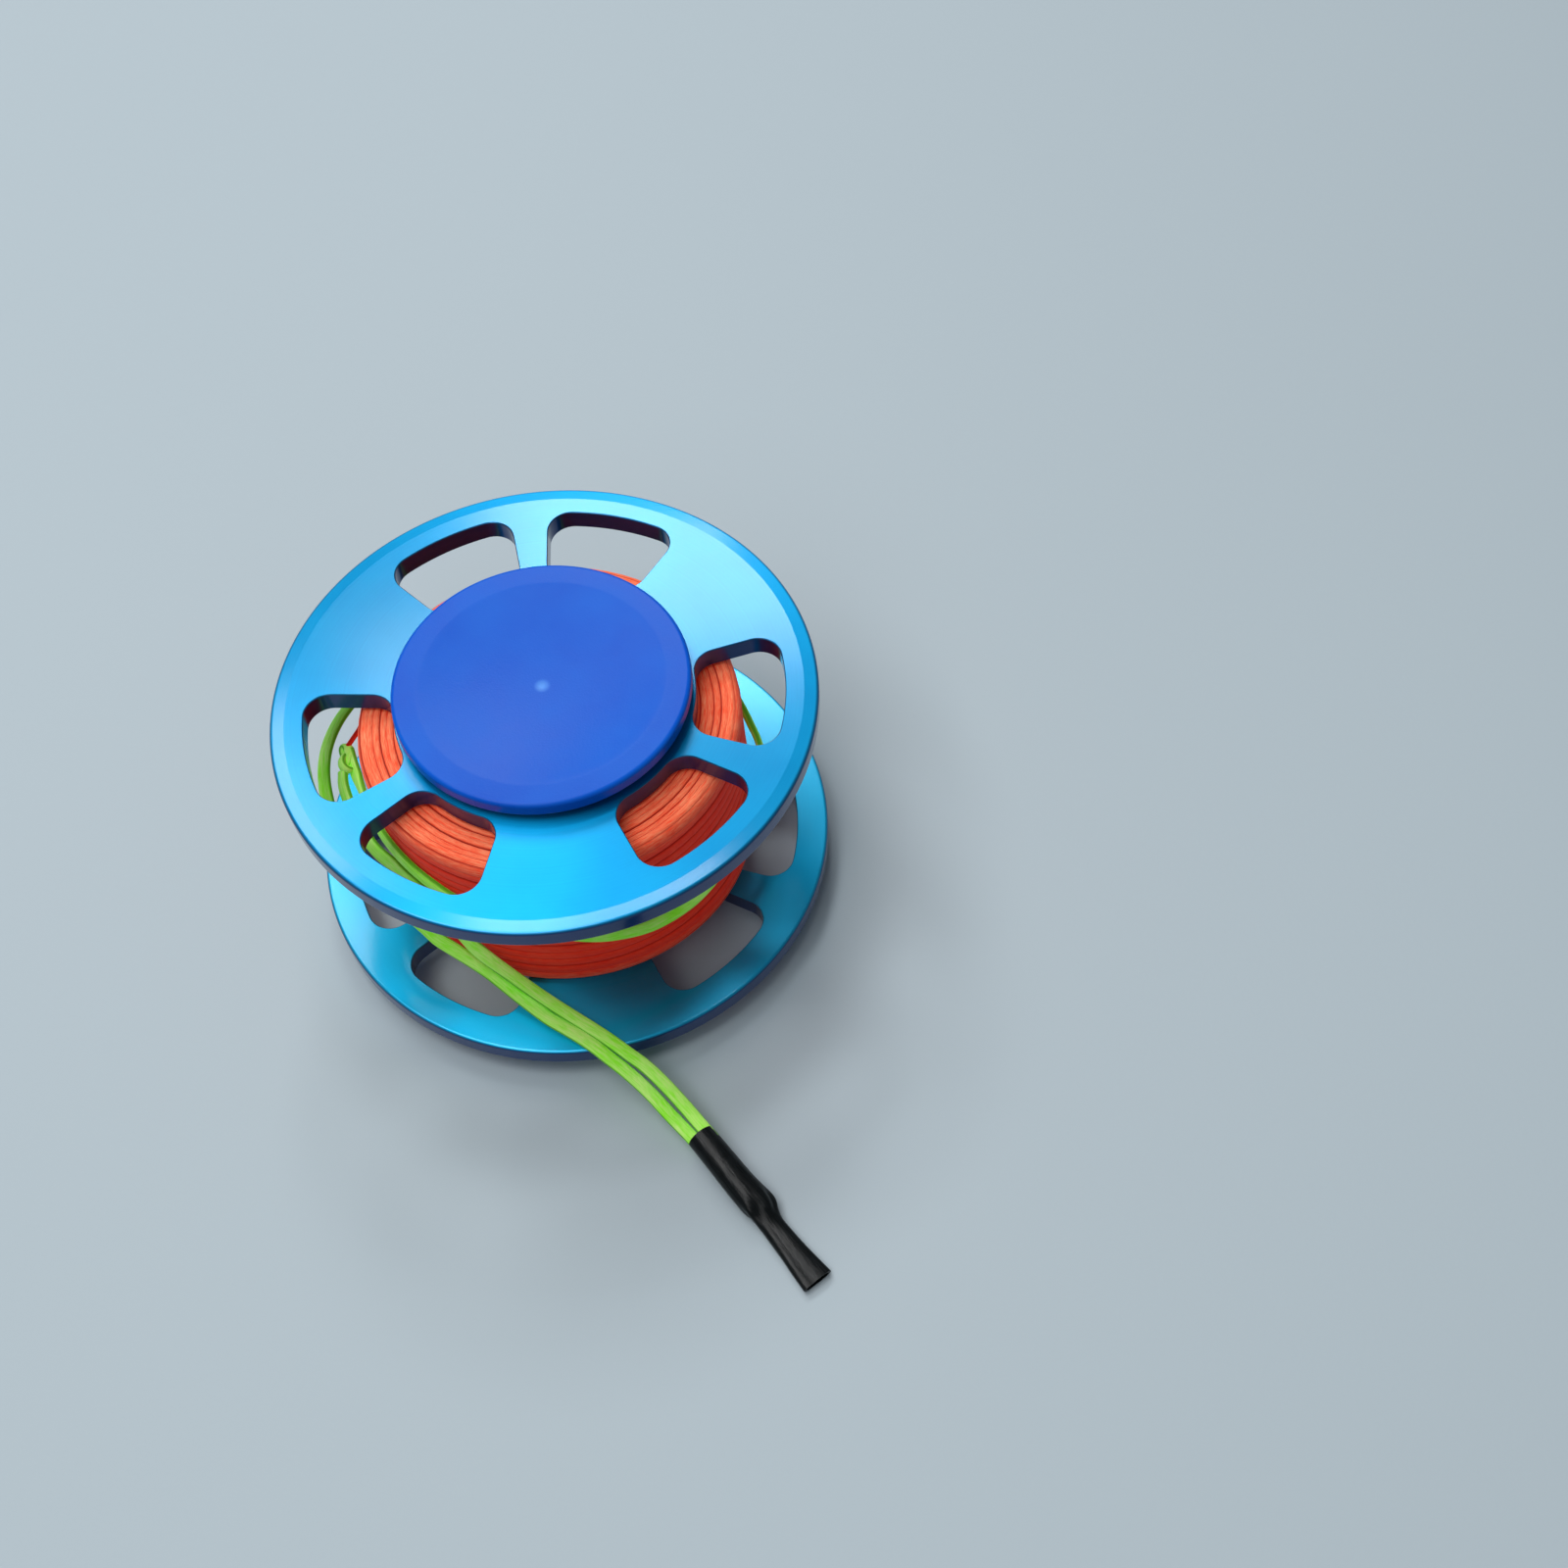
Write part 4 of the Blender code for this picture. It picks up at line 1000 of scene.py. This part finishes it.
def windingPlace(distance):
    # radius, level and outward slope of the winding's skin, this far from the hub below to the hub above
    corner, start = winding["corner"], winding["hubRadius"] + winding["hubGap"]
    flat, bend = windingRadius - corner - start, corner * math.pi / 2
    wall = flange["innerFace"] - winding["sideGap"] - corner
    total = 2 * (flat + bend + wall)
    distance = np.clip(distance, 0, total)
    upper = distance > total / 2
    left = np.where(upper, total - distance, distance)
    turn = np.clip((left - flat) / corner, 0, math.pi / 2)
    radius = start + np.minimum(left, flat) + corner * np.sin(turn)
    height = wall - np.clip(left - flat - bend, 0, wall) + corner * np.cos(turn)
    return radius, np.where(upper, height, -height), turn, upper, total


def wander(angle, generator):
    first, step, spread = (strayWaves[k] for k in ("firstRate", "rateStep", "rateSpread"))
    total = np.zeros_like(angle)
    for wave in range(strayWaves["count"]):
        rate = first + step * wave + spread * generator.random()
        total += np.sin(rate * angle + generator.random() * math.tau) / (1 + strayWaves["fading"] * wave)
    return total / np.abs(total).max()


def between(end, side, share):
    return winding[end] + (winding[side] - winding[end]) * share


def makeWinding():
    generator = np.random.default_rng(winding["seed"])
    # the pitch changes round the corners, so turns are counted along the section first
    stops = np.linspace(0, windingPlace(0.0)[4], winding["countingStops"])
    pitches = between("endPitch", "sidePitch", windingPlace(stops)[2] / (math.pi / 2))
    counted = np.concatenate(([0], np.cumsum(np.diff(stops) / ((pitches[1:] + pitches[:-1]) / 2))))
    turns = int(counted[-1])
    angle = np.arange(turns * winding["pointsPerTurn"] + 1) / winding["pointsPerTurn"] * math.tau
    place = angle / math.tau * counted[-1] / turns + wander(angle, generator) * winding["wander"]
    pitch = np.interp(place, counted, pitches)
    radius, level, turn, upper, _ = windingPlace(np.interp(place, counted, stops))
    outwards, upwards = np.sin(turn), np.where(upper, 1, -1) * np.cos(turn)
    depth = between("endDepth", "sideDepth", turn / (math.pi / 2))
    sunk = depth / 2 + winding["lift"] * (1 - wander(angle, generator))
    radius, level = radius - outwards * sunk, level - upwards * sunk
    path = np.column_stack([radius * np.cos(angle), radius * np.sin(angle), middle + level])
    facing = np.column_stack([outwards * np.cos(angle), outwards * np.sin(angle), upwards])
    shape = oval(1.0, 1.0, winding["sides"], winding["squareness"])
    section = shape * np.stack([pitch * winding["fill"], depth], axis=-1)[:, None]
    piece = skin("windingTurns", sweep(path, facing, section) * mm, travelled(path) * mm)
    finishPiece(piece, orangeBraid, "spool", "orange_line", "line_outer_layer")


innerTurns = {
    "ridgeWidth": 1.66,
    "stepsPerRidge": 6,
    "valleyDepth": 0.35,
    "hubOverlap": 0.3,
    "endLevels": (16.6, 16.9),  # by the hub, and on the ridges
    "endRadii": (24.0, 29.6),
    "sideRadius": 31.25,
    "sideLevel": 14.6,
    "cornerCentre": (29.0, 14.7),
    "cornerRadius": 2.2,
    "cornerAngles": (75, 10),
    "cornerSteps": 6,
    "segments": 144,
    "sharpAngle": 60.0,
}


def valley(place):
    return innerTurns["valleyDepth"] * (1 - abs(math.sin(math.pi * place / innerTurns["ridgeWidth"])))


def makeInnerTurns():
    # the turns below show as rounded ridges between the outer ones
    step = innerTurns["ridgeWidth"] / innerTurns["stepsPerRidge"]
    hub = winding["hubRadius"] + innerTurns["hubOverlap"]
    (hubLevel, endLevel), (inside, outside) = innerTurns["endLevels"], innerTurns["endRadii"]
    (cornerReach, cornerLevel), (steep, shallow) = innerTurns["cornerCentre"], innerTurns["cornerAngles"]
    side, corner, cornerSteps = (innerTurns[k] for k in ("sideLevel", "cornerRadius", "cornerSteps"))
    outline = [(hub, hubLevel)]
    outline += [(radius, endLevel - valley(radius)) for radius in np.arange(inside, outside, step)]
    outline += arc((cornerReach, cornerLevel), corner, steep, shallow, cornerSteps)
    outline += [(innerTurns["sideRadius"] - valley(level), level) for level in np.arange(side, -side, -step)]
    outline += arc((cornerReach, -cornerLevel), corner, -shallow, -steep, cornerSteps)
    outline += [(radius, valley(radius) - endLevel) for radius in np.arange(outside, inside, -step)]
    outline.append((hub, -hubLevel))
    piece = turned("innerTurns", levelled(outline, 1), innerTurns["segments"], innerTurns["sharpAngle"])
    finishPiece(piece, orangeBraid, "spool", "orange_line", "line_core")


makeWinding()
makeInnerTurns()
print("line wound")

# Knot of the leader, and the line's end tied to it
knot = {
    "angle": 169.5,  # round the spool
    "height": 36.9,
    "reach": 36.9,
    "cordWidth": 1.8,
    "cordHeight": 1.1,
    "squareness": 0.8,
    "sides": 16,
    "points": 96,
    "halfSizes": (0.63, 2.4, 1.25),  # outwards, along the winding and up
    "loopReach": 2.6,  # of the unscaled curve
    "facingShift": 0.6,
}
lineEnd = {
    "route": (
        (-24.6, 23.3, 40.4), (-27.0, 20.4, 40.5), (-29.3, 16.9, 40.1), (-31.1, 13.8, 39.6),
        (-32.7, 11.4, 39.0), (-34.3, 9.8, 38.5), (-35.9, 8.4, 37.9),
    ),
    "width": 1.0,
    "height": 0.85,
    "sides": 12,
    "spacing": 0.5,
}


def makeKnot():
    # an overhand knot drawn up small: the cord crosses itself three times in the space of the solid
    outwards = np.array((*roundPoint(1.0, knot["angle"]), 0.0))
    axes = np.array((outwards, np.cross(up, outwards), up))
    centre = outwards * knot["reach"] + up * knot["height"]
    turn = np.arange(knot["points"]) / knot["points"] * math.tau
    local = np.column_stack([
        -np.sin(3 * turn),
        (np.sin(turn) + 2 * np.sin(2 * turn)) / knot["loopReach"],
        (np.cos(turn) - 2 * np.cos(2 * turn)) / knot["loopReach"],
    ])
    path = centre + local * knot["halfSizes"] @ axes
    ahead = unit(np.roll(path, -1, axis=0) - np.roll(path, 1, axis=0))
    facing = unit(path - centre + outwards * knot["facingShift"])
    section = oval(knot["cordWidth"], knot["cordHeight"], knot["sides"], knot["squareness"])
    piece = skin("leaderKnot", sweep(path, facing, section, ahead) * mm, travelled(path) * mm, closed=True)
    finishPiece(piece, greenBraid, "spool", "green_cord", "leader_knot")


def makeLineEnd():
    path = evenly(smoothCurve(lineEnd["route"]), lineEnd["spacing"])
    section = oval(lineEnd["width"], lineEnd["height"], lineEnd["sides"])
    piece = skin("lineEnd", sweep(path, radial(path), section) * mm, travelled(path) * mm)
    finishPiece(piece, orangeBraid, "spool", "orange_line", "line_end")


makeKnot()
makeLineEnd()
print("knot and line end made")

# Pieces kept as they are, with their finishes
keptFinishes = {"hub_barrel": blueAnodised, "spindle": stainlessSteel, "line_anchor_knot": orangeBraid}
for end in ("upper", "lower"):
    keptFinishes[f"{end}_bush"] = whiteAcetal
    keptFinishes[f"{end}_insert"] = turnedBrass
    for number in (1, 2, 3):
        keptFinishes[f"{end}_screw_{number}"] = stainlessSteel
for nodeName, finish in keptFinishes.items():
    dress(nodes[nodeName], finish)
print("kept pieces finished")

# Table and light, in metres and watts
tablePaper = {
    "halfSize": 3.0,
    "colour": linear(174, 187, 194),
    "paleColour": linear(180, 193, 200),
    "cloud": (2.2, 2.0),
    "grain": (900.0, 2.0),
    "grainDepth": 0.00002,
    "surface": {"Roughness": 0.75, "Specular IOR Level": 0.2},
}
studio = {
    # place, width, depth and power
    "lights": {
        "topPanel": ((-0.34, -0.03, 1.15), 0.7, 0.7, 7.1),
        "rimPanel": ((0.0, 0.405, 1.13), 0.38, 0.14, 1.7),
        "leftPanel": ((-0.38, 0.76, 1.12), 0.36, 0.36, 3.2),
        "backPanel": ((0.16, 0.98, 1.06), 0.34, 0.34, 3.9),
        "centrePanel": ((-0.07, 0.84, 1.12), 0.13, 0.13, 0.4),
        "frontPanel": ((-0.5, -0.8, 1.1), 0.6, 0.6, 2.0),
    },
    "target": (0.0, 0.0, 0.03),
    "roomColour": (0.84, 0.92, 1.0),
    "roomStrength": 0.17,
}


def makeTable():
    half = tablePaper["halfSize"]
    mesh = bpy.data.meshes.new("table")
    corners = [(-half, -half, 0), (half, -half, 0), (half, half, 0), (-half, half, 0)]
    mesh.from_pydata(corners, [], [(0, 1, 2, 3)])
    table = bpy.data.objects.new("table", mesh)
    bpy.context.scene.collection.objects.link(table)
    mesh.materials.append(makePlain("tablePaper", tablePaper))


def makeLight(name, place, width, depth, power):
    data = bpy.data.lights.new(name, "AREA")
    data.shape = "RECTANGLE"
    data.size = width
    data.size_y = depth
    data.energy = power
    light = bpy.data.objects.new(name, data)
    bpy.context.scene.collection.objects.link(light)
    light.location = place
    light.rotation_euler = (Vector(studio["target"]) - Vector(place)).to_track_quat("-Z", "Y").to_euler()


def makeRoom():
    world = bpy.data.worlds.new("room")
    world.use_nodes = True
    shade = world.node_tree.nodes["Background"]
    shade.inputs["Color"].default_value = (*studio["roomColour"], 1.0)
    shade.inputs["Strength"].default_value = studio["roomStrength"]
    bpy.context.scene.world = world


makeTable()
for lightName, lightFacts in studio["lights"].items():
    makeLight(lightName, *lightFacts)
makeRoom()
bpy.context.scene.view_settings.view_transform = "Standard"
print("table and light set")
